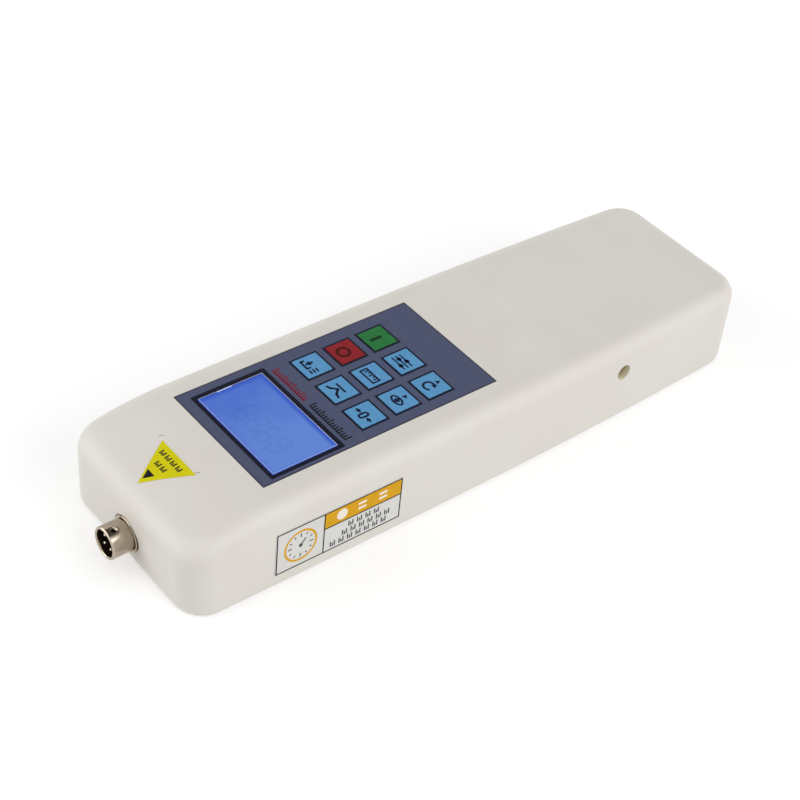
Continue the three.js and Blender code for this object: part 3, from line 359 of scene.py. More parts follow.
finishes = {
    "housing_plastic": finish("cream_housing", (224, 219, 211), (227, 223, 216), (0.42, 0.48), mottle=22),
    "panel_film": film("panel_film", (76, 83, 109), (81, 88, 115), 1.2),
    "key_blue": film("key_film_blue", (88, 150, 198), (97, 158, 205), 1.5),
    "key_red": film("key_film_red", (136, 30, 38), (148, 37, 44), 1.5),
    "key_green": film("key_film_green", (34, 112, 56), (44, 124, 66), 1.5),
    "dark_trim": film("display_border", (8, 11, 30), (14, 17, 38), 2),
    "lit_display": finish("display_glass", (88, 128, 214), (96, 136, 220), SHINY),
    "clear_pane": material("clear_pane", window, True),
    "plain_film": finish("plain_film", (222, 214, 190), (228, 221, 200), SATIN),
    "bright_steel": finish("plated_steel", (196, 194, 188), (214, 212, 206), (0.22, 0.34), 1, 3, 0.5, 0.012),
    "socket_nickel": finish("nickel", (164, 152, 136), (186, 174, 158), SHINY, 1, 3, 0.3),
    "gold_pin": finish("plated_pin", (226, 214, 186), (238, 228, 204), SHINY, 1, 1),
    "circuit_board": material("solder_mask", board),
    "black_plastic": finish("black_plastic", (22, 22, 24), (32, 32, 34), (0.4, 0.52), mottle=4),
    "white_plastic": finish("white_plastic", (232, 229, 220), (240, 237, 230), SATIN, mottle=4),
    "cable_sheath": finish("cable_sheath", (112, 114, 118), (124, 126, 130), MATT, mottle=3),
    "cell_wrap": material("cell_wrap", cell),
    "white_label": film("white_vinyl", (220, 219, 215), (226, 225, 221), 5),
    "yellow_label": film("yellow_vinyl", (212, 204, 6), (220, 212, 14), 3),
}


def dress(piece, look):
    piece.data.materials.clear()
    piece.data.materials.append(finishes[look])


for part in frame["record"]["subparts"]:
    dress(nodes[part["node"]], part["material_slot"])
print(len(finishes), "finishes on", len(nodes), "pieces")

# %% [markdown]
# ## Hand tools
# Every new piece starts as a primitive and is shaped in edit mode, as by hand. Edit-mode operators act on
# whatever is selected, so one helper enters edit mode with everything selected, and another picks only the
# edges whose ends pass a test, and rounds them. The others start a block or a bar, cut a piece across, join
# or cut one piece with another, shade it, and hand it over finished.

# %% Select, start and finish a piece
NEARLY = MM / 10
WELD = 0.02 * MM
SLICE_WELD = 0.05 * MM
SMOOTH_ANGLE = math.radians(30)
BAR_TURNS = {"x": (0, math.pi / 2, 0), "y": (math.pi / 2, 0, 0), "z": (0, 0, 0)}


def take(*pieces):
    """Makes these pieces the only ones selected, and the first of them active."""
    bpy.ops.object.select_all(action="DESELECT")
    for piece in pieces:
        piece.select_set(True)
    bpy.context.view_layer.objects.active = pieces[0]


def begin(name, primitive, **shape):
    """Adds a primitive, names it, and moves its place into its mesh."""
    bpy.ops.object.select_all(action="DESELECT")
    primitive(**shape)
    piece = bpy.context.active_object
    piece.name = piece.data.name = name
    take(piece)
    bpy.ops.object.transform_apply(location=True, rotation=True, scale=True)
    return piece


def block(name, low, high):
    """A box between two corners."""
    low, high = Vector(low), Vector(high)
    return begin(name, bpy.ops.mesh.primitive_cube_add, size=1, location=(low + high) / 2, scale=high - low)


def bar(axis, through, radius, start, end, sides=48):
    """A cylinder along an axis, through a point, from one place on the axis to another."""
    centre = Vector(through)
    setattr(centre, axis, (start + end) / 2)
    return begin("bar", bpy.ops.mesh.primitive_cylinder_add, vertices=sides, radius=radius,
                 depth=abs(end - start), location=centre, rotation=BAR_TURNS[axis])


def edit(piece, kind="FACE"):
    """Enters edit mode with all of a piece's faces, edges or corners selected."""
    take(piece)
    bpy.ops.object.mode_set(mode="EDIT")
    bpy.ops.mesh.select_mode(type=kind)
    bpy.ops.mesh.select_all(action="SELECT")


def leave():
    bpy.ops.object.mode_set(mode="OBJECT")


def round_edges(piece, radius, steps, test):
    """Bevels the edges whose two ends pass a test on their places."""
    edit(piece, "EDGE")
    bpy.ops.mesh.select_all(action="DESELECT")
    net = bmesh.from_edit_mesh(piece.data)
    for edge in net.edges:
        if test(*(corner.co for corner in edge.verts)):
            edge.select_set(True)
    bmesh.update_edit_mesh(piece.data)
    bpy.ops.mesh.bevel(offset=radius, segments=steps, profile=0.5, affect="EDGES", clamp_overlap=False)
    leave()


def slice_across(piece, places, normal, weld=SLICE_WELD):
    """Cuts new edges across a piece at several places along X, Y or Z, and keeps both sides."""
    edit(piece)
    for place in places:
        bpy.ops.mesh.select_all(action="SELECT")
        bpy.ops.mesh.bisect(plane_co=Vector(normal) * place, plane_no=normal)
    bpy.ops.mesh.select_all(action="SELECT")
    bpy.ops.mesh.remove_doubles(threshold=weld)
    leave()


def upright(a, b):
    return abs(a.z - b.z) > abs(a.x - b.x) + abs(a.y - b.y)


def slab(name, low, high, radius, edge=0.0, steps=6):
    """A plate with round corners in plan, and a small rounded rim round its top where edge isn't 0."""
    plate = block(name, low, high)
    round_edges(plate, radius, steps, upright)
    if edge:
        top = Vector(high).z
        round_edges(plate, edge, 3, lambda a, b: min(a.z, b.z) > top - edge / 2)
    return plate


def join(name, pieces):
    """Joins pieces into the first of them."""
    take(*pieces)
    if len(pieces) > 1:
        bpy.ops.object.join()
    pieces[0].name = pieces[0].data.name = name
    return pieces[0]


def combine(piece, others, operation):
    """Joins others to a piece, or cuts them out of it, and removes them."""
    tool = join("tool", others)
    take(piece)
    change = piece.modifiers.new("change", "BOOLEAN")
    change.operation, change.object, change.solver = operation, tool, "EXACT"
    change.use_self = True
    bpy.ops.object.modifier_apply(modifier=change.name)
    bpy.data.objects.remove(tool)
    edit(piece)
    bpy.ops.mesh.remove_doubles(threshold=WELD)
    bpy.ops.mesh.dissolve_degenerate(threshold=WELD)
    leave()
    return piece


def smooth(piece):
    """Shades a piece smooth, except across sharp edges, with large faces kept flat."""
    take(piece)
    bpy.ops.object.shade_smooth_by_angle(angle=SMOOTH_ANGLE)
    even = piece.modifiers.new("even", "WEIGHTED_NORMAL")
    even.keep_sharp = True
    bpy.ops.object.modifier_apply(modifier=even.name)
    return piece


def put(piece, slot, *stands_for, look=None, body="gauge"):
    """Gives a finished piece its finish, from its look or else its slot, and its body, and hides the nodes
    that it stands for.
    """
    dress(piece, look or slot)
    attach(piece, body)
    if stands_for:
        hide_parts(*stands_for)
    return piece


def middle(node):
    low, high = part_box(node)
    return (low + high) / 2


# %% [markdown]
# ## The body's shape
# The body is one deep moulded tub, upside down. From above it is a long rectangle with round corners that
# narrows a little towards both ends. From the side, its roof is level and then falls away over the nose,
# and its walls lean in towards the roof, as a moulding must to leave its mould. A hand modeller makes such
# a shape from a straight block: round the block's edges first, while they are easy to select, then lean,
# narrow and lower all its corners by rule. The same rule later bends the labels onto the walls.

# %% The rule that turns a straight block into the body
BODY_LENGTH = 230 * MM
BODY_WIDTH = 66 * MM
BODY_HEIGHT = 31 * MM
WALL = 2.5 * MM
ROOF = 3 * MM
NEAR_CORNER = 9.5 * MM
FAR_CORNER = 10.5 * MM
ROOF_FILLET = 6 * MM
BASE_RADIUS = 2 * MM
SIDE_FLARE = 1.4 * MM
NEAR_LEAN = 1.9 * MM
NOSE_LENGTH = 32 * MM
NOSE_DROP = 5.7 * MM
FAR_NARROWING = 3.2 * MM
NEAR_NARROWING = 0.8 * MM
WAIST_Y = -8 * MM
NEAR_END = -BODY_LENGTH / 2
FAR_END = BODY_LENGTH / 2
NOSE_START = NEAR_END + NOSE_LENGTH
NOSE_SLICES = [NEAR_END + MM * (1.5 * step + 2) for step in range(22)]
LEVEL_SLICES = [NOSE_START + MM * (6 * step + 6) for step in range(30)]
LOOSE_GAP = 0.3 * MM
SEAT_GAP = 0.05 * MM


def width_share_at(y):
    far = max(y - WAIST_Y, 0) / (FAR_END - WAIST_Y)
    near = max(WAIST_Y - y, 0) / (WAIST_Y - NEAR_END)
    return 1 - (FAR_NARROWING * far**2 + NEAR_NARROWING * near**2) / (BODY_WIDTH / 2)


def roof_share_at(y):
    return 1 - NOSE_DROP / BODY_HEIGHT * (max(NOSE_START - y, 0) / NOSE_LENGTH) ** 2


def side_x_at(y, z):
    """Half the body's width at a place along it and a height."""
    level = z / roof_share_at(y)
    return (BODY_WIDTH / 2 + SIDE_FLARE * (1 - level / BODY_HEIGHT)) * width_share_at(y)


def body_place(place):
    """Where a point of the straight block lies on the body."""
    x, y, level = place
    down = 1 - level / BODY_HEIGHT
    flat_half = BODY_WIDTH / 2 - FAR_CORNER
    along_nose = (NOSE_START - y) / (NOSE_START - NEAR_END - NEAR_CORNER)
    x += SIDE_FLARE * down * max(-1, min(1, x / flat_half))
    y += NEAR_LEAN * down * max(0, min(1, along_nose))
    return Vector((x * width_share_at(y), y, level * roof_share_at(y)))


def body_block(name, inset, floor_level, ceiling, fillet, base_radius=0.0):
    """The body's outer skin, or the same set in by a wall: a block with round edges, put through the rule."""
    half = Vector((BODY_WIDTH / 2 - inset, BODY_LENGTH / 2 - inset))
    made = block(name, (-half.x, -half.y, floor_level), (half.x, half.y, ceiling))
    round_edges(made, NEAR_CORNER - inset, 12, lambda a, b: upright(a, b) and a.y < 0)
    round_edges(made, FAR_CORNER - inset, 12, lambda a, b: upright(a, b) and a.y > 0)
    if fillet:
        round_edges(made, fillet, 10, lambda a, b: min(a.z, b.z) > ceiling - NEARLY)
    if base_radius:
        round_edges(made, base_radius, 4, lambda a, b: max(a.z, b.z) < floor_level + NEARLY)
    for places in (NOSE_SLICES, LEVEL_SLICES):
        slice_across(made, places, (0, 1, 0))
    for corner in made.data.vertices:
        corner.co = body_place(corner.co)
    return made


print("the body is", round(2 * side_x_at(WAIST_Y, 0) / MM, 1), "mm wide at its foot")

# %% [markdown]
# ## The front housing
# The real housing is one moulding: skin, ribs and screw posts are all one piece of plastic. It is made here
# in the same order as a toolmaker thinks of it: the outer skin, less the hollow, plus the posts that the
# boards and the cover are screwed to, less every hole and recess. The holes take their places from the
# pieces that go through them.

# %% Measure the pieces that the housing holds
OVERRUN = 1 * MM
SIDE_HOLE = Vector((0, 56, 19.3)) * MM
SIDE_HOLE_RADIUS = 2.8 * MM
SIDE_HOLE_DEPTH = 9 * MM
SIDE_HOLE_WALL = 2.2 * MM
COVER_THICKNESS = 2.5 * MM
SOCKET_REACH = 8.2 * MM
DISPLAY_SCREW_INSET = 2.2 * MM
side_hole_mouth = side_x_at(SIDE_HOLE.y, SIDE_HOLE.z)
side_hole_floor = side_hole_mouth - SIDE_HOLE_DEPTH
cover_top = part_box("rear_cover")[0].z + COVER_THICKNESS
board_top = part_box("main_board")[1].z
panel_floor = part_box("keypad_circuit")[0].z - SEAT_GAP
film_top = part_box("panel_overlay")[1].z
socket_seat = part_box("socket_shell")[0].y + SOCKET_REACH
socket_centre = Vector((0, socket_seat, middle("socket_shell").z))
jack, port = middle("charge_jack"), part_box("data_port")
cover_screws = [middle(f"cover_screw_{i}") for i in range(1, 5)]
board_screws = [middle(f"board_screw_{i}") for i in range(1, 5)]
lcd_low, lcd_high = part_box("lcd_board")
display_screws = [Vector((x, y, lcd_high.z))
                  for x in (lcd_low.x + DISPLAY_SCREW_INSET, lcd_high.x - DISPLAY_SCREW_INSET)
                  for y in (lcd_low.y + DISPLAY_SCREW_INSET, lcd_high.y - DISPLAY_SCREW_INSET)]
print("the boards hang", round((BODY_HEIGHT - board_top) / MM, 1), "mm under the roof")

# %% Build the front housing
COVER_POST, COVER_BORE, COVER_BORE_DEPTH = 3.8 * MM, 1.75 * MM, 12 * MM
BOARD_POST, BOARD_BORE, BOARD_BORE_DEPTH = 3 * MM, 1.5 * MM, 8 * MM
DISPLAY_POST, DISPLAY_PEG, PEG_LENGTH = 1.8 * MM, 0.8 * MM, 2.4 * MM
SOCKET_BOSS, SOCKET_BOSS_LENGTH = 6.9 * MM, 3 * MM
SOCKET_MOUTH, SOCKET_BORE, SOCKET_BORE_LENGTH = 6.4 * MM, 5.1 * MM, 4 * MM
JACK_BORE = 4.3 * MM
PANEL_CORNER = 0.4 * MM
BORE_SHADE = 5 * MM


def hanging_posts(places, radius, bottom):
    """Posts that hang from inside the roof down to a height."""
    middle_of_roof = BODY_HEIGHT - ROOF / 2
    return [bar("z", place, radius, bottom, middle_of_roof * roof_share_at(place.y)) for place in places]


def box_round(node, gap, bottom, top):
    """A block as large in plan as a node with a gap all round, between two heights."""
    low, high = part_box(node)
    return block("cut", (low.x - gap, low.y - gap, bottom), (high.x + gap, high.y + gap, top))


def housing_posts():
    posts = hanging_posts(cover_screws, COVER_POST, cover_top + SEAT_GAP)
    posts += hanging_posts(board_screws, BOARD_POST, board_top + SEAT_GAP)
    posts += hanging_posts(display_screws, DISPLAY_POST, lcd_high.z + SEAT_GAP)
    posts += hanging_posts(display_screws, DISPLAY_PEG, lcd_high.z - PEG_LENGTH)
    posts.append(bar("y", socket_centre, SOCKET_BOSS, socket_seat, socket_seat + SOCKET_BOSS_LENGTH, 64))
    radius = SIDE_HOLE_RADIUS + SIDE_HOLE_WALL
    inner, outer = side_hole_floor - SIDE_HOLE_WALL, side_hole_mouth - WALL / 2
    return posts + [bar("x", SIDE_HOLE, radius, side * inner, side * outer) for side in (-1, 1)]


def housing_cuts():
    over = BODY_HEIGHT + OVERRUN
    past = FAR_END - WALL - OVERRUN, FAR_END + OVERRUN
    low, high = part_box("panel_overlay")
    cuts = [slab("recess", (low.x - LOOSE_GAP / 2, low.y - LOOSE_GAP / 2, panel_floor),
                 (high.x + LOOSE_GAP / 2, high.y + LOOSE_GAP / 2, over), PANEL_CORNER)]
    cuts.append(box_round("lcd_bezel", LOOSE_GAP, lcd_low.z, over))
    cuts.append(box_round("keypad_ribbon", LOOSE_GAP * 2, board_top, over))
    cuts += [bar("z", place, COVER_BORE, cover_top - OVERRUN, cover_top + COVER_BORE_DEPTH)
             for place in cover_screws]
    cuts += [bar("z", place, BOARD_BORE, board_top - OVERRUN, board_top + BOARD_BORE_DEPTH)
             for place in board_screws]
    cuts += [bar("x", SIDE_HOLE, SIDE_HOLE_RADIUS, side * side_hole_floor, side * (side_hole_mouth + OVERRUN))
             for side in (-1, 1)]
    cuts.append(bar("y", socket_centre, SOCKET_MOUTH, NEAR_END - OVERRUN, socket_seat, 64))
    cuts.append(bar("y", socket_centre, SOCKET_BORE, NEAR_END, socket_seat + SOCKET_BORE_LENGTH, 64))
    cuts.append(bar("y", jack, JACK_BORE, *past, 64))
    low, high = port
    cuts.append(block("cut", (low.x - LOOSE_GAP, past[0], low.z - LOOSE_GAP),
                      (high.x + LOOSE_GAP, past[1], high.z + LOOSE_GAP)))
    return cuts


def bore_painted_shade(add):
    """Painted light and shade in a side hole: paler than the housing at its mouth, and painted shade, duller
    and yellower, deep inside.
    """
    from_middle = calculate(add, "ABSOLUTE", own_place(add)[1]["X"])
    shallow = between(add, from_middle, side_hole_mouth - BORE_SHADE, side_hole_mouth, shape="SMOOTHSTEP")
    skin = blend(add, shallow, (172, 156, 72), (244, 238, 212), 0.0, 1.0)
    return add("ShaderNodeBsdfPrincipled", {"Base Color": skin, "Roughness": 0.5})


housing = body_block("housing", 0, 0, BODY_HEIGHT, ROOF_FILLET, BASE_RADIUS)
hollow = body_block("hollow", WALL, -OVERRUN, BODY_HEIGHT - ROOF, ROOF_FILLET - WALL)
combine(housing, [hollow], "DIFFERENCE")
combine(housing, housing_posts(), "UNION")
combine(housing, housing_cuts(), "DIFFERENCE")
put(smooth(housing), "housing_plastic", "front_housing")
housing.data.materials.append(material("bore_painted_shade", bore_painted_shade))
# The faces of both side holes take the painted light and shade of the bore.
for face in housing.data.polygons:
    corners = [housing.data.vertices[i].co for i in face.vertices]
    off_axis = max(math.hypot(place.y - SIDE_HOLE.y, place.z - SIDE_HOLE.z) for place in corners)
    if off_axis < SIDE_HOLE_RADIUS + NEARLY / 2 and abs(face.center.x) > BODY_WIDTH / 4:
        face.material_index = 1
print("front housing:", len(housing.data.polygons), "faces")

# %% [markdown]
# ## Round pieces
# Screws, pins and the metal sockets are all turned parts, so they are drawn the way a lathe cuts them: half
# of the section, point by point, swung once round the axis. The section starts as one corner of a plane
# merged to a point, and each extrude draws the next stretch. Points that lie on the axis come out many
# times, once for each step of the spin, so doubles are merged before the normals are turned outward.

# %% Turn a section round an axis
SEAM_WELD = MM / 500


def swing(centre, way, steps, angle):
    """Swings what is selected round an axis, merges its doubles and turns its faces outward."""
    bpy.ops.mesh.spin(steps=steps, angle=angle, center=centre, axis=way)
    bpy.ops.mesh.select_all(action="SELECT")
    bpy.ops.mesh.remove_doubles(threshold=SEAM_WELD)
    bpy.ops.mesh.normals_make_consistent(inside=False)
    leave()


def lathe(name, section, centre, axis="z", steps=64):
    """Swings points in millimetres, (radius, place along the axis), round an axis through a centre."""
    way = Vector((0, 1, 0)) if axis == "y" else Vector((0, 0, 1))
    places = [centre + Vector((radius * MM, 0, 0)) + way * (along * MM) for radius, along in section]
    piece = begin(name, bpy.ops.mesh.primitive_plane_add, size=MM)
    edit(piece, "VERT")
    bpy.ops.mesh.merge(type="CENTER")
    bpy.ops.transform.translate(value=places[0])
    for before, after in zip(places, places[1:]):
        bpy.ops.mesh.extrude_vertices_move(TRANSFORM_OT_translate={"value": after - before})
    bpy.ops.mesh.select_all(action="SELECT")
    swing(centre, way, steps, 2 * math.pi)
    return piece


# %% [markdown]
# ## The rear cover and its screws
# A plate closes the tub from below, let in flush with its rim. It is the same block and the same rule as
# the body, only set in by the wall and a small gap, so the gap is even all round. Its four screws sit in
# sunk holes, so the gauge doesn't scratch a table. Two posts inside carry the little port board.

# %% Build the rear cover and its screws
COVER_EDGE = 0.4 * MM
PORT_POST, PORT_PEG, PORT_POST_INSET = 2.2 * MM, 0.9 * MM, 3 * MM
SUNK_SECTION = [(0, -1), (3.35, -1), (3.35, 0.1), (3.2, 0.25), (1.75, 1.75), (1.75, 3.5), (0, 3.5)]
HEAD_SECTION = [(0, 0), (2.85, 0), (3, 0.15), (3, 0.3), (1.55, 1.7)]
THREAD_SECTION = [(1.28, 0), (1.5, 0.45), (1.28, 0.9)]
THREAD_STARTS = [2.1 + step for step in range(9)]
TIP_SECTION = [(0.75, 11.7), (0, 11.7)]
DRIVE_RADIUS = 1.2 * MM
DRIVE_DEPTH = 1.2 * MM
screw_heads = [Vector((place.x, place.y, 0)) for place in cover_screws]


def cover_screw(spot, number):
    thread = [(radius, start + along) for start in THREAD_STARTS for radius, along in THREAD_SECTION]
    section = HEAD_SECTION + thread + TIP_SECTION
    screw = lathe(f"cover_screw_dressed_{number}", section, spot, steps=40)
    return smooth(combine(screw, [bar("z", spot, DRIVE_RADIUS, -OVERRUN, DRIVE_DEPTH, 6)], "DIFFERENCE"))


def rear_cover():
    cover = body_block("rear_cover_plate", WALL + LOOSE_GAP, 0, cover_top, 0, COVER_EDGE)
    low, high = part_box("port_board")
    posts = []
    for x in (low.x + PORT_POST_INSET, high.x - PORT_POST_INSET):
        spot = Vector((x, (low.y + high.y) / 2, 0))
        posts.append(bar("z", spot, PORT_POST, cover_top / 2, low.z - SEAT_GAP))
        posts.append(bar("z", spot, PORT_PEG, cover_top / 2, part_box("rear_cover")[1].z))
    combine(cover, posts, "UNION")
    sunk = [lathe("sunk", SUNK_SECTION, spot, steps=48) for spot in screw_heads]
    return smooth(combine(cover, sunk, "DIFFERENCE"))


put(rear_cover(), "housing_plastic", "rear_cover")
for number, spot in enumerate(screw_heads, 1):
    put(cover_screw(spot, number), "bright_steel", f"cover_screw_{number}")
print("rear cover and", len(screw_heads), "screws")

# %% [markdown]
# ## The sensor socket
# The socket is a nickel-plated shell with a flange against the wall, a narrow neck, a hole that a plug's
# latch snaps into, and four pins deep in a black insulator. A polished round piece shows its surroundings
# more than itself, so its edges are broken by small chamfers: each catches its own bright or dark line.

# %% Build the sensor socket
LATCH_FROM_SEAT = 5.6 * MM
LATCH_TURN = math.radians(12)
LATCH_SECTION = [(0, 0), (0.85, 0), (0.85, 5.1), (1.1, 5.35), (1.1, 8), (0, 8)]
MOUTH_SECTION = [(4.35, -7.95), (4.55, -8.2), (5.02, -8.2), (5.3, -7.92)]
NECK_SECTION = [(5.3, -1.68), (5.2, -1.58), (4.65, -1.58)]
FLANGE_SECTION = [(4.65, -1.12), (5.75, -1.12), (5.92, -0.98), (5.92, -0.66), (5.5, -0.6), (5.5, -0.42),
                  (6.08, -0.36), (6.2, -0.24), (6.2, -0.05), (4.8, -0.05)]
SOCKET_THREAD = [(4.8, 0.5), (4.55, 0.85)]
SOCKET_PITCH, SOCKET_TURNS = 0.75, 11
SOCKET_END = [(4.6, 9), (4.35, 9), (4.35, -7.95)]
INSULATOR_SECTION = [(0, -0.8), (3.9, -0.8), (4.1, -0.6), (4.1, 9), (0, 9)]
PIN_NOSE = [(0, 0), (0.2, 0.03), (0.38, 0.15), (0.5, 0.45)]
PIN_HOLE, PIN_HOLE_NEAR, PIN_HOLE_FAR = 0.62 * MM, -2 * MM, 10 * MM
socket_pins = [middle(f"socket_pin_{number}") for number in range(1, 5)]
pin_low, pin_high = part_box("socket_pin_1")
pin_tip = (pin_low.y - socket_seat) / MM
pin_end = (pin_high.y - socket_seat) / MM


def latch_cut():
    cutter = lathe("latch", LATCH_SECTION, socket_centre - Vector((0, LATCH_FROM_SEAT, 0)), steps=32)
    edit(cutter, "VERT")
    bpy.ops.transform.rotate(value=-LATCH_TURN, orient_axis="Y", center_override=socket_centre)
    leave()
    return cutter


def socket_shell():
    starts = [SOCKET_PITCH * turn for turn in range(SOCKET_TURNS)]
    thread = [(radius, along + start) for start in starts for radius, along in SOCKET_THREAD]
    section = MOUTH_SECTION + NECK_SECTION + FLANGE_SECTION + thread + SOCKET_END
    shell = lathe("socket_shell_dressed", section, socket_centre, "y", 96)
    return smooth(combine(shell, [latch_cut()], "DIFFERENCE"))


def socket_insulator():
    core = lathe("socket_insulator_dressed", INSULATOR_SECTION, socket_centre, "y", 64)
    near, far = socket_seat + PIN_HOLE_NEAR, socket_seat + PIN_HOLE_FAR
    holes = [bar("y", pin, PIN_HOLE, near, far, 24) for pin in socket_pins]
    return smooth(combine(core, holes, "DIFFERENCE"))


def socket_pin(pin, number):
    section = [(radius, pin_tip + along) for radius, along in PIN_NOSE] + [(0.5, pin_end), (0, pin_end)]
    return smooth(lathe(f"pin_{number}", section, Vector((pin.x, socket_seat, pin.z)), "y", 24))


put(socket_shell(), "socket_nickel", "socket_shell")
put(socket_insulator(), "black_plastic", "socket_insulator")
for number, pin in enumerate(socket_pins, 1):
    put(socket_pin(pin, number), "gold_pin", f"socket_pin_{number}")

# %% [markdown]
# ## The far end's two sockets
# The photograph doesn't show the far end, so it gets what such a gauge needs there: a round charging jack
# and a small data port. Metal contacts inside plastic are what make a socket look real, so the jack's pin
# and the port's contacts are pieces of their own with their own finish.

# %% Build the charging jack and the data port
JACK_SECTION = [(0, -12), (4, -12), (4, 0.05), (6.15, 0.05), (6.3, 0.2), (6.3, 0.85), (6.2, 1.1), (5.95, 1.2),
                (3.1, 1.2), (2.75, 0.85), (2.75, -7.5), (0, -7.5)]
JACK_PIN_SECTION = [(0, -7.45), (1, -7.45), (1, -0.35), (0.75, -0.08), (0, 0)]
PORT_WALL, PORT_BACK = 0.4 * MM, 1.5 * MM
PORT_CORNER, MOUTH_CORNER, TONGUE_CORNER = 0.8 * MM, 0.45 * MM, 0.12 * MM
TONGUE_HALF = Vector((2.5, 0, 0.6)) * MM
TONGUE_NEAR, TONGUE_FAR = 1.55 * MM, 1 * MM
CONTACT_NEAR, CONTACT_FAR = 1.8 * MM, 1.3 * MM
CONTACT_PITCH, CONTACT_HALF = 0.95 * MM, 0.25 * MM
CONTACT_FOOT, CONTACT_TOP = MM / 50, MM / 8


def data_port():
    """The port's metal shell, its plastic tongue and the contacts on the tongue."""
    low, high = port
    centre = (low + high) / 2

    def along_port(a, b):
        return abs(a.y - b.y) > (high.y - low.y) / 2

    shell = block("data_port_shell", low, high)
    round_edges(shell, PORT_CORNER, 5, along_port)
    mouth = block("mouth", (low.x + PORT_WALL, low.y + PORT_BACK, low.z + PORT_WALL),
                  (high.x - PORT_WALL, high.y + OVERRUN, high.z - PORT_WALL))
    round_edges(mouth, MOUTH_CORNER, 4, along_port)
    combine(shell, [mouth], "DIFFERENCE")
    left, right, top = centre.x - TONGUE_HALF.x, centre.x + TONGUE_HALF.x, centre.z + TONGUE_HALF.z
    tongue = block("data_port_tongue", (left, low.y + TONGUE_NEAR, centre.z - TONGUE_HALF.z),
                   (right, high.y - TONGUE_FAR, top))
    round_edges(tongue, TONGUE_CORNER, 2, lambda a, b: True)
    contacts = [block("contact", (x - CONTACT_HALF, low.y + CONTACT_NEAR, top + CONTACT_FOOT),
                      (x + CONTACT_HALF, high.y - CONTACT_FAR, top + CONTACT_TOP))
                for x in (centre.x + step * CONTACT_PITCH for step in range(-2, 3))]
    return smooth(shell), tongue, join("data_port_contacts", contacts)


jack_seat = Vector((jack.x, FAR_END, jack.z))
put(smooth(lathe("jack_body", JACK_SECTION, jack_seat, "y", 64)), "black_plastic", "charge_jack")
put(smooth(lathe("jack_pin", JACK_PIN_SECTION, jack_seat, "y", 32)), "bright_steel", "charge_jack")
for piece, slot in zip(data_port(), ("bright_steel", "black_plastic", "gold_pin")):
    put(piece, slot, "data_port")
print("far end sockets made")

# %% [markdown]
# ## Printing
# Printed marks are thin ink on a film. A flat mark that shares its face with the film would flicker, so each
# one gets a thickness of a few hundredths of a millimetre and lies on the film. Every mark is a bar, a
# disc, a triangle or a piece of a ring, and the marks of one print are joined. They are drawn flat round
# the origin, in millimetres; the print is then laid on its key, or wrapped onto the curved body by the
# body's own rule.

# %% Draw with bars, discs, triangles and rings
INK = 0.02 * MM


def ink_bar(start, end, width):
    """A flat bar between two points."""
    start, end = Vector(start) * MM, Vector(end) * MM
    run = end - start
    return begin("ink", bpy.ops.mesh.primitive_cube_add, size=1, location=((start + end) / 2).to_3d(),
                 scale=(run.length, width * MM, INK), rotation=(0, 0, math.atan2(run.y, run.x)))


def ink_disc(centre, radius, sides=24, turn=0.0):
    return begin("ink", bpy.ops.mesh.primitive_cylinder_add, vertices=sides, radius=radius * MM, depth=INK,
                 location=(Vector(centre) * MM).to_3d(), rotation=(0, 0, turn))


def ink_tip(centre, radius, turn):
    """A triangle, like an arrow's tip, turned by some degrees."""
    return ink_disc(centre, radius, 3, math.radians(turn))


def ink_path(*points, width):
    """Bars from point to point, with a disc at each turn."""
    bars = [ink_bar(start, end, width) for start, end in zip(points, points[1:])]
    return bars + [ink_disc(point, width / 2) for point in points[1:-1]]


def ink_frame(low, high, width):
    (x0, y0), (x1, y1) = low, high
    half = width / 2
    rows = [ink_bar((x0 - half, y), (x1 + half, y), width) for y in (y0, y1)]
    return rows + [ink_bar((x, y0 + half), (x, y1 - half), width) for x in (x0, x1)]


def ink_arc(centre, radius, width, start=0.0, sweep=360.0):
    """A piece of a ring, its start and sweep in degrees from +X to +Y: an upright plane, swung."""
    centre, angle = (Vector(centre) * MM).to_3d(), math.radians(start)
    piece = begin("ink", bpy.ops.mesh.primitive_plane_add, size=1, location=(0, 0, 0))
    for corner, (side, level) in zip(piece.data.vertices, ((-1, -1), (1, -1), (-1, 1), (1, 1))):
        reach = (radius + side * width / 2) * MM
        corner.co = centre + Vector((reach * math.cos(angle), reach * math.sin(angle), level * INK / 2))
    edit(piece)
    swing(centre, (0, 0, 1), max(4, round(sweep / 10)), -math.radians(sweep))
    return piece


def join_marks(name, marks):
    """Joins marks, given one by one or in lists, into one print."""
    return join(name, [mark for group in marks for mark in (group if isinstance(group, list) else [group])])


def lay(name, marks, place):
    """Joins marks and moves them, mesh and all, so that their under side lies at a place."""
    piece = join_marks(name, marks)
    edit(piece, "VERT")
    bpy.ops.transform.translate(value=place + Vector((0, 0, INK / 2)))
    leave()
    return piece


inks = [
    film("ink_navy", (14, 24, 54), (22, 32, 64)),
    film("ink_dark_red", (74, 6, 10), (84, 10, 16)),
    film("ink_dark_green", (8, 44, 18), (12, 54, 22)),
    film("ink_black", (14, 14, 22), (22, 22, 30)),
    film("ink_red", (118, 20, 40), (130, 28, 48)),
    film("ink_orange", (216, 160, 22), (224, 168, 30), 2),
    # The brown one is not print but painted shadow for the gap round the sunk film.
    film("painted_gap_shade", (58, 50, 58), (68, 58, 64)),
    film("ink_grey", (66, 66, 74), (78, 78, 86)),
    # The next two are not print but painted highlights: a pale line round the pane's edge, and brighter
    # glints on it.
    film("painted_edge_highlight", (176, 188, 232), (190, 200, 238), 3),
    finish("painted_glint_white", (200, 214, 246), (214, 226, 250), (0.2, 0.3), mottle=2),
    film("pencil", (166, 162, 158), (176, 172, 168)),
    finish("ink_white", (240, 232, 214), (246, 238, 222), SATIN, mottle=1),
]
finishes.update((ink.name, ink) for ink in inks)
print(len(inks), "inks")
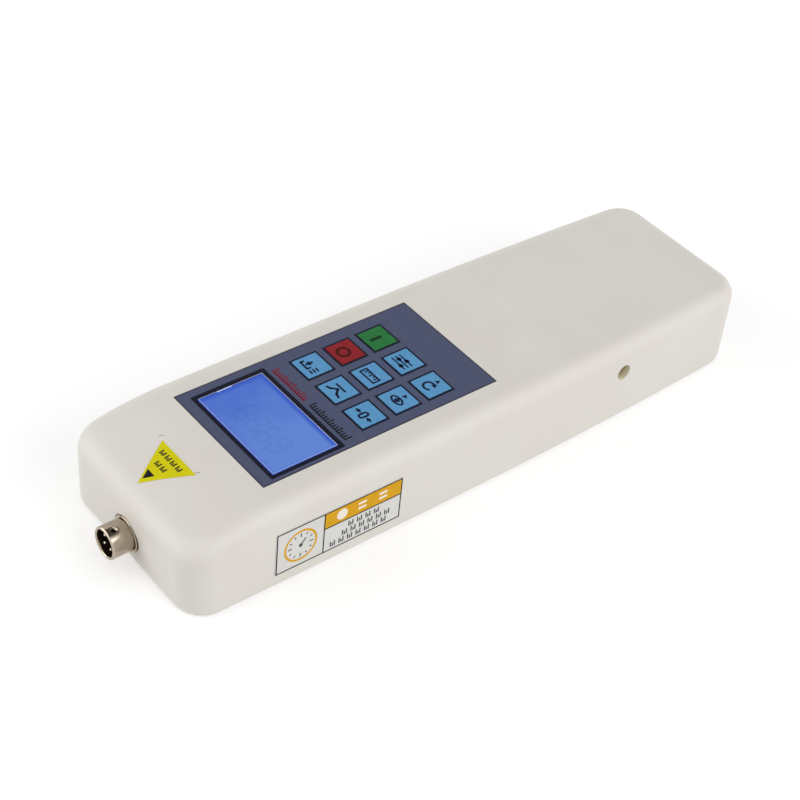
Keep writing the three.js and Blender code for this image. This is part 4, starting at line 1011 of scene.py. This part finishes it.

# %% [markdown]
# ## The keypad's film
# The whole keypad is one printed film, sunk flush into the roof, with openings for the nine keys and the
# display. Round each key the print leaves a dark outline, and on its near and right sides a broader dark
# band is painted shade. Between display and keys runs a scale of fine lines, red on the left and dark on the
# right.

# %% Build the film and its printing
FILM_CORNER = 0.3 * MM
FILM_EDGE = 0.12 * MM
KEY_GAP = 0.15 * MM
KEY_CORNER = 0.5 * MM
PAINTED_SHADE_LINE = 0.72
FINE_LINE = 0.46
SCALE_Y = -49.6
SCALE_FOOT = SCALE_Y - 1.2
SCALE_STEP = 1.1
BASE_LINE = 0.45
TICK_LINE = 0.54
SHORT_TICK, LONG_TICK = 0.6, 1.5
key_names = ["save", "peak", "zero", "off", "unit", "view", "on", "set", "rotate"]
on_film = Vector((0, 0, film_top))


def opening(node, corner):
    """A cutter for an opening round a node, a small gap larger than the node."""
    (left, near, _), (right, far, _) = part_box(node)
    return slab("opening", (left - KEY_GAP, near - KEY_GAP, film_top - MM),
                (right + KEY_GAP, far + KEY_GAP, film_top + MM), corner + KEY_GAP)


def panel_film():
    sheet = slab("panel_film_dressed", *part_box("panel_overlay"), FILM_CORNER, FILM_EDGE)
    openings = [opening(f"key_{name}", KEY_CORNER) for name in key_names]
    openings.append(opening("display_frame", FILM_CORNER))
    return smooth(combine(sheet, openings, "DIFFERENCE"))


def box_in_mm(node, grow=0.0):
    """A node's left, near, right and far sides in millimetres, moved out by some millimetres."""
    low, high = (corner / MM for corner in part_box(node))
    return low.x - grow, low.y - grow, high.x + grow, high.y + grow


def edge_line(name, node, inset, width):
    """A fine line on the film, just inside the edge of a node. Both uses are painted light or shade: a dark
    shadow line round the film, and a pale highlight round the pane.
    """
    left, near, right, far = box_in_mm(node, -inset)
    return lay(name, [ink_frame((left, near), (right, far), width)], on_film)


def key_outlines_and_shade():
    """A fine dark printed frame round each key, and broader bars on its near and right sides that are painted
    shade, the shade of the raised key.
    """
    bars = []
    for name in key_names:
        left, near, right, far = box_in_mm(f"key_{name}", KEY_GAP / MM)
        for y, width in ((near - PAINTED_SHADE_LINE / 2, PAINTED_SHADE_LINE), (far + FINE_LINE / 2, FINE_LINE)):
            bars.append(ink_bar((left - FINE_LINE, y), (right + PAINTED_SHADE_LINE, y), width))
        for x, width in ((left - FINE_LINE / 2, FINE_LINE), (right + PAINTED_SHADE_LINE / 2, PAINTED_SHADE_LINE)):
            bars.append(ink_bar((x, near), (x, far), width))
    return lay("key_outlines_and_shade", bars, on_film)


def tick_scale(name, start, end):
    """A row of fine lines on a base line, every fourth one longer."""
    ticks = [ink_bar((start, SCALE_FOOT), (end, SCALE_FOOT), BASE_LINE)]
    for step in range(int((end - start) / SCALE_STEP) + 1):
        x, rise = start + step * SCALE_STEP, SHORT_TICK if step % 4 else LONG_TICK
        ticks.append(ink_bar((x, SCALE_FOOT), (x, SCALE_Y + rise), TICK_LINE))
    return lay(name, ticks, on_film)


put(panel_film(), "panel_film", "panel_overlay")
# A dark line painted just inside the film's edge: painted shadow in the gap round the sunk film.
put(edge_line("painted_gap_shadow", "panel_overlay", 0.2, 0.26), "dark_trim", look="painted_gap_shade")
put(key_outlines_and_shade(), "dark_trim")
put(tick_scale("red_scale", -17.2, -0.8), "key_red", look="ink_red")
put(tick_scale("dark_scale", 1.7, 19.8), "dark_trim", look="ink_black")
print("keypad film with", len(key_names), "openings")

# %% [markdown]
# ## The nine keys
# Each key is its own small pad, a little proud of the film, with a stem under it that reaches the snap dome,
# so it can travel by itself. The rim catches the light, which is what makes a flat key look pressable.
# Its print is a plain sign for what it does: a box that takes an arrow for save, a curve under a bar for
# peak, arrows to a nought for zero, a ring for off and a bar for on, a ruler for unit, an eye for view,
# sliders for set and a turning arrow for rotate.

# %% Draw the signs and build the keys
KEY_TOP_INK = 0.03 * MM
KEY_RIM = 0.14 * MM
KEY_SKIRT = 0.48 * MM
KEY_STEM = 1.5 * MM
SIGN_Y = -0.7
KEY_COLOURS = {"off": ("key_red", "ink_dark_red"), "on": ("key_green", "ink_dark_green")}


def sign_marks(name):
    """The marks of one key's sign, in millimetres round the key's middle."""
    if name == "save":
        tray = ink_path((-3, -0.9), (-3, -2.3), (0.6, -2.3), (0.6, -0.9), width=0.75)
        rows = [ink_bar((1.6, y), (3.4, y), 0.65) for y in (-2.3, -1.1, 0.1)]
        return [tray, ink_bar((-1.2, 1.1), (-1.2, -0.3), 0.8), ink_tip((-1.2, -0.6), 1.3, 180), rows]
    if name == "peak":
        curve = ink_path((-3.3, -2.3), (-1.8, -1.8), (-0.2, 0), (1.4, -1.8), (3.3, -2.3), width=0.85)
        return [curve, ink_bar((-2.6, 1.1), (2.2, 1.1), 0.75)]
    if name == "zero":
        arrows = [ink_bar((side * 3.6, SIGN_Y), (side * 2.5, SIGN_Y), 0.7) for side in (-1, 1)]
        tips = [ink_tip((side * 2.3, SIGN_Y), 1.05, 90 * side) for side in (-1, 1)]
        sides = [ink_bar((side * 0.8, -1.5), (side * 0.8, 0.1), 0.75) for side in (-1, 1)]
        ends = [ink_arc((0, 0.1), 0.8, 0.75, 0, 180), ink_arc((0, -1.5), 0.8, 0.75, 180, 180)]
        return [arrows, tips, sides, ends]
    if name == "off":
        return [ink_arc((0, SIGN_Y), 2, 1.1)]
    if name == "on":
        return [ink_bar((0, SIGN_Y - 2.2), (0, SIGN_Y + 2.2), 1.3)]
    if name == "unit":
        ends = ((-2.2, -1.1), (-1.1, -0.4), (0, -1.1), (1.1, -0.4), (2.2, -1.1))
        return [ink_frame((-3.3, -2), (3.3, 0.6), 0.65), [ink_bar((x, 0.6), (x, y), 0.55) for x, y in ends]]
    if name == "view":
        lids = [ink_arc((0, SIGN_Y - 1.8), 3.1, 0.7, 36, 108), ink_arc((0, SIGN_Y + 1.8), 3.1, 0.7, 216, 108)]
        return [lids, ink_disc((0, SIGN_Y), 0.95), ink_tip((0, 2.5), 1.1, -90)]
    if name == "set":
        rows = [ink_bar((-3.3, y), (3.3, y), 0.55) for y in (-2.3, -0.8, 0.7)]
        return [rows, [ink_disc(place, 0.85) for place in ((1.3, -2.3), (-1.5, -0.8), (0.6, 0.7))]]
    tips = [ink_tip((1, 0.5), 1.1, -120), ink_tip((0, 2.6), 1.1, 0)]
    return [ink_arc((0, SIGN_Y - 0.2), 1.8, 0.8, 60, 270), tips]


def key_pad(name):
    low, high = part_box(f"key_{name}")
    skirt, top = film_top - KEY_SKIRT, high.z - KEY_TOP_INK
    pad = slab(f"pad_{name}", (low.x, low.y, skirt), (high.x, high.y, top), KEY_CORNER, KEY_RIM, 5)
    spot = Vector(((low.x + high.x) / 2, (low.y + high.y) / 2, top))
    return smooth(combine(pad, [bar("z", spot, KEY_STEM, low.z, film_top)], "UNION")), spot


for name in key_names:
    slot, ink = KEY_COLOURS.get(name, ("key_blue", "ink_navy"))
    pad, spot = key_pad(name)
    put(pad, slot, f"key_{name}", body=f"{name}_key")
    put(lay(f"sign_{name}", sign_marks(name), spot), slot, look=ink, body=f"{name}_key")
print(len(key_names), "keys")

# %% [markdown]
# ## The display
# A dark border is let into the film round a clear pane, and the lit glass of the display shines from just
# below. A lit display glows of itself, so nearly all of its colour is light of its own, a little deeper
# towards the edges, where the backlight falls off. Just inside the pane's cut edge a fine pale line is
# painted on as a painted highlight, with brighter painted glints in two places.

# %% Build the border and the pane, and light the display
FRAME_BORDER = 1.4 * MM
FRAME_CORNER = 0.25 * MM
FRAME_EDGE = 0.1 * MM
FRAME_BEVEL = 0.22 * MM
GLASS_EDGE = 0.15 * MM
GLOW_LEVEL = 0.9
GLOW_TONES = (76, 112, 206), (100, 138, 216), (64, 98, 204)
GLOW_RIM = 0.2 * MM, 1.8 * MM
CLOUD_SIZE, CLOUD_DETAIL, CLOUD_DEPTH = 9 * MM, 2.0, 0.5
IDLE_SHADE = 0.965
DIGIT_X, DIGIT_Y, DIGIT_STEP = -7, -68.2, 5.8


def display_border():
    low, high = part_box("display_frame")
    border = slab("display_border_dressed", low, high, FRAME_CORNER, FRAME_EDGE)
    inner = Vector((FRAME_BORDER, FRAME_BORDER, 0))
    hole = slab("hole", low + inner - Vector((0, 0, MM)), high - inner + Vector((0, 0, MM)), FRAME_CORNER)
    combine(border, [hole], "DIFFERENCE")

    def on_rim(place):
        inside = low.x + MM < place.x < high.x - MM and low.y + MM < place.y < high.y - MM
        return inside and place.z > high.z - NEARLY / 2

    round_edges(border, FRAME_BEVEL, 1, lambda a, b: on_rim(a) and on_rim(b))
    return smooth(border)


def lit_glass(add, shade):
    """Blue glass that glows, paler in the middle and to the near right. A shade under 1 darkens it all."""
    low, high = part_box("display_window")
    nearest = calculate(add, "MINIMUM", *(depth_inside(add, "display_window", axis) for axis in (0, 1)))
    inside = between(add, nearest, *GLOW_RIM, shape="SMOOTHSTEP")
    across = between(add, own_place(add)[1]["X"], low.x, high.x)
    cloud = calculate(add, "MULTIPLY_ADD", noise(add, CLOUD_SIZE, CLOUD_DETAIL), CLOUD_DEPTH, across)
    deep, pale, rim = ([level * shade for level in levels] for levels in GLOW_TONES)
    glow = mix(add, "RGBA", inside, tone(*rim), blend(add, cloud, deep, pale, 0.15, 0.9))
    return add("ShaderNodeBsdfPrincipled", {
        "Base Color": tone(20, 30, 62),
        "Roughness": 0.4,
        "Specular IOR Level": 0.05,
        "Emission Strength": GLOW_LEVEL,
        "Emission Color": glow,
    })


def idle_digits():
    """Four faint digits with all seven segments, as an idle display shows them."""
    marks = []
    for x in (DIGIT_X + step * DIGIT_STEP for step in range(4)):
        marks += [ink_bar((x - 1.6, DIGIT_Y + rise), (x + 1.6, DIGIT_Y + rise), 1) for rise in (-3.8, 0, 3.8)]
        marks += [ink_bar((x + side, DIGIT_Y + rise), (x + side, DIGIT_Y + rise + 3), 1)
                  for side in (-1.9, 1.9) for rise in (-3.4, 0.4)]
    return lay("idle_digits", marks, Vector((0, 0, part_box("lcd_glass")[1].z - 0.8 * INK)))


def painted_pane_glints():
    """Painted glints: pale bars that stand in for light flashing off the cut edge, by the near left corner,
    and finer along the far edge.
    """
    marks = [ink_bar((-18.1, -70.8), (-18.1, -65.4), 0.28), ink_bar((10, -54.2), (19.6, -54.2), 0.1)]
    return lay("painted_pane_glints", marks, on_film + Vector((0, 0, INK)))


def display_glass():
    low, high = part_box("lcd_glass")
    glass = block("display_glass_dressed", low, high)
    round_edges(glass, GLASS_EDGE, 2, lambda a, b: min(a.z, b.z) > high.z - NEARLY)
    return smooth(glass)


for name, shade in (("lit_glass", 1), ("idle_segments", IDLE_SHADE)):
    finishes[name] = material(name, lit_glass, shade)
put(display_border(), "dark_trim", "display_frame")
pane = smooth(slab("display_pane", *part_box("display_window"), FRAME_CORNER))
put(pane, "clear_pane", "display_window")
pane.data.materials.append(material("pane_underside", window, False))
for face in pane.data.polygons:
    face.material_index = 0 if face.normal.z > 0.5 else 1
put(display_glass(), "lit_display", "lcd_glass", look="lit_glass")
put(idle_digits(), "lit_display", look="idle_segments")
# A pale line painted just inside the pane's edge: a painted highlight where the edge gleams.
put(edge_line("painted_rim_highlight", "display_window", 0.12, 0.18), "clear_pane", look="painted_edge_highlight")
put(painted_pane_glints(), "clear_pane", look="painted_glint_white")
print("display lit at", GLOW_LEVEL)

# %% [markdown]
# ## The two stickers
# The stickers follow the body, so each is made flat, cut across into short stretches so that it can bend,
# and then wrapped: a flat point's place across and along the sticker picks a spot on the body's skin, and
# its height lifts it off that spot. The side one has a dial, a coloured band and rows of short strokes, and
# the nose one a small triangle and more strokes. Two pencil ticks show where the nose one was to go.

# %% Wrap flat pieces onto the body
STICKER = 0.1 * MM
STICKER_SLICE = 1.5 * MM
STICKER_CORNER = 0.3 * MM
label_low, label_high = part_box("side_label")
sticker_low, sticker_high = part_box("nose_sticker")
label_middle = middle("side_label")
label_half = Vector((label_high.y - label_low.y, label_high.z - label_low.z)) / 2 / MM


def on_side(place):
    y, z = label_middle.y + place.x, label_middle.z + place.y
    return Vector((side_x_at(y, z) + SEAT_GAP + place.z, y, z))


def on_nose(place):
    return Vector((place.x, place.y, BODY_HEIGHT * roof_share_at(place.y) + SEAT_GAP + place.z))


def wrap(piece, rule, level, normal, start, end):
    """Cuts a flat piece across between two places, then bends and lifts it onto the skin."""
    count = int((end - start) / STICKER_SLICE)
    slice_across(piece, [start + (end - start) * step / count for step in range(1, count)], normal, INK / 10)
    for corner in piece.data.vertices:
        corner.co = rule(corner.co + Vector((0, 0, level)))
    return piece


def wrap_side(piece, level):
    return wrap(piece, on_side, level, (1, 0, 0), -label_half.x * MM, label_half.x * MM)


def wrap_nose(piece, level):
    return wrap(piece, on_nose, level, (0, 1, 0), sticker_low.y, sticker_high.y)


print("side label", [round(2 * half, 1) for half in label_half], "mm")

# %% Make the side label
# In the flat, the label has two cells: left of the divider a dial, right of it a band over rows of strokes.
LINE = 0.44
STROKE_LINE = 0.48
STROKE_PITCH = 0.72
DIVIDER_X = -5.9
label_edge = label_half - Vector((0.4, 0.4))
band_low = label_edge.y - 6.0
band_middle = (label_edge.y + band_low) / 2
dial = Vector(((DIVIDER_X - label_edge.x) / 2, 0))


def label_sheet():
    reach = (label_half * MM).to_3d()
    return wrap_side(slab("label_sheet", -reach, reach + Vector((0, 0, STICKER)), STICKER_CORNER), 0)


def label_lines():
    return [ink_frame(-label_edge, label_edge, LINE),
            ink_bar((DIVIDER_X, -label_edge.y), (DIVIDER_X, label_edge.y), LINE),
            ink_bar((DIVIDER_X, band_low), (label_edge.x, band_low), LINE)]


def label_band():
    ends = (DIVIDER_X + LINE / 2, band_middle), (label_edge.x - LINE / 2, band_middle)
    return [ink_bar(*ends, label_edge.y - band_low - LINE), ink_arc(dial, 5.6, 0.75)]


def tick_group(left, y, height):
    """Three fine strokes side by side, the middle one shorter, like the marks on a ruler."""
    strokes = [(left, height), (left + STROKE_PITCH, height * 0.6), (left + 2 * STROKE_PITCH, height)]
    return [ink_bar((x, y), (x, y + rise), STROKE_LINE) for x, rise in strokes]


def label_strokes():
    """Rows of strokes as (how many groups, where the row starts), then the dial's marks and its hand."""
    rows = [(4, 9.2), (6, 7), (7, 2.7)]
    marks = [tick_group(DIVIDER_X + start + step * 3.2, band_low - 3.1 - row * 2.6, 2)
             for row, (count, start) in enumerate(rows) for step in range(count)]
    for step in range(12):
        way = Vector((math.cos(math.radians(30 * step)), math.sin(math.radians(30 * step))))
        marks.append(ink_bar(dial + way * (3.8 if step % 3 else 3.2), dial + way * 4.6, 0.4))
    return marks + [ink_bar(dial, dial + Vector((1.8, 2.2)), 0.5), ink_disc(dial, 0.7)]


def label_blanks():
    """A disc and two pairs of bars on the band."""
    disc = ink_disc((DIVIDER_X + 6.4, band_middle), 2)
    rows = [(x, band_middle + rise) for x in (DIVIDER_X + 12.4, DIVIDER_X + 20.2) for rise in (-0.9, 0.9)]
    return [disc, [ink_bar((x, y), (x + 3, y), 0.9) for x, y in rows]]


put(label_sheet(), "white_label", "side_label")
for name, marks, ink, level in (("label_lines", label_lines, "ink_black", STICKER + INK / 2),
                                ("label_band", label_band, "ink_orange", STICKER + INK / 2),
                                ("label_strokes", label_strokes, "ink_grey", STICKER + INK / 2),
                                ("label_blanks", label_blanks, "ink_white", STICKER + INK)):
    put(wrap_side(join_marks(name, marks()), level), "white_label", look=ink)
print("side label wrapped")

# %% Make the nose sticker and the pencil ticks
tip_x = (sticker_low.x + sticker_high.x) / 2 / MM
left_x, near_y, right_x, far_y = box_in_mm("nose_sticker")


def triangle(name, corners, thickness):
    """A flat three-cornered plate whose corners are given in millimetres."""
    piece = begin(name, bpy.ops.mesh.primitive_cylinder_add, vertices=3, radius=MM, depth=thickness,
                  location=(0, 0, thickness / 2))
    for level in (0, thickness):
        ring = sorted((corner for corner in piece.data.vertices if abs(corner.co.z - level) < thickness / 4),
                      key=lambda corner: math.atan2(corner.co.y, corner.co.x))
        for corner, (x, y) in zip(ring, corners):
            corner.co = Vector((x * MM, y * MM, level))
    edit(piece)
    bpy.ops.mesh.normals_make_consistent(inside=False)
    leave()
    return piece


sheet = triangle("sticker_sheet", [(tip_x, near_y), (right_x, far_y), (left_x, far_y)], STICKER)
put(wrap_nose(sheet, 0), "yellow_label", "nose_sticker")
marks = [triangle("ink", [(-1.3, -108), (0.4, -105), (-3.1, -105)], INK)]
marks += [tick_group(x, -99.3, 1.7) for x in (-6, -3.3, -0.6, 2.1)]
marks += [tick_group(x, -102.7, 1.7) for x in (-3.4, -0.7)]
put(wrap_nose(join_marks("sticker_marks", marks), STICKER + INK), "yellow_label", look="ink_black")
ticks = [ink_bar((-12, -95.6), (-11.1, -94.5), 0.3), ink_bar((6.9, -95.5), (7.6, -94.3), 0.3)]
put(wrap_nose(join_marks("pen_ticks", ticks), INK - SEAT_GAP), "yellow_label", look="pencil")
print("nose sticker wrapped")
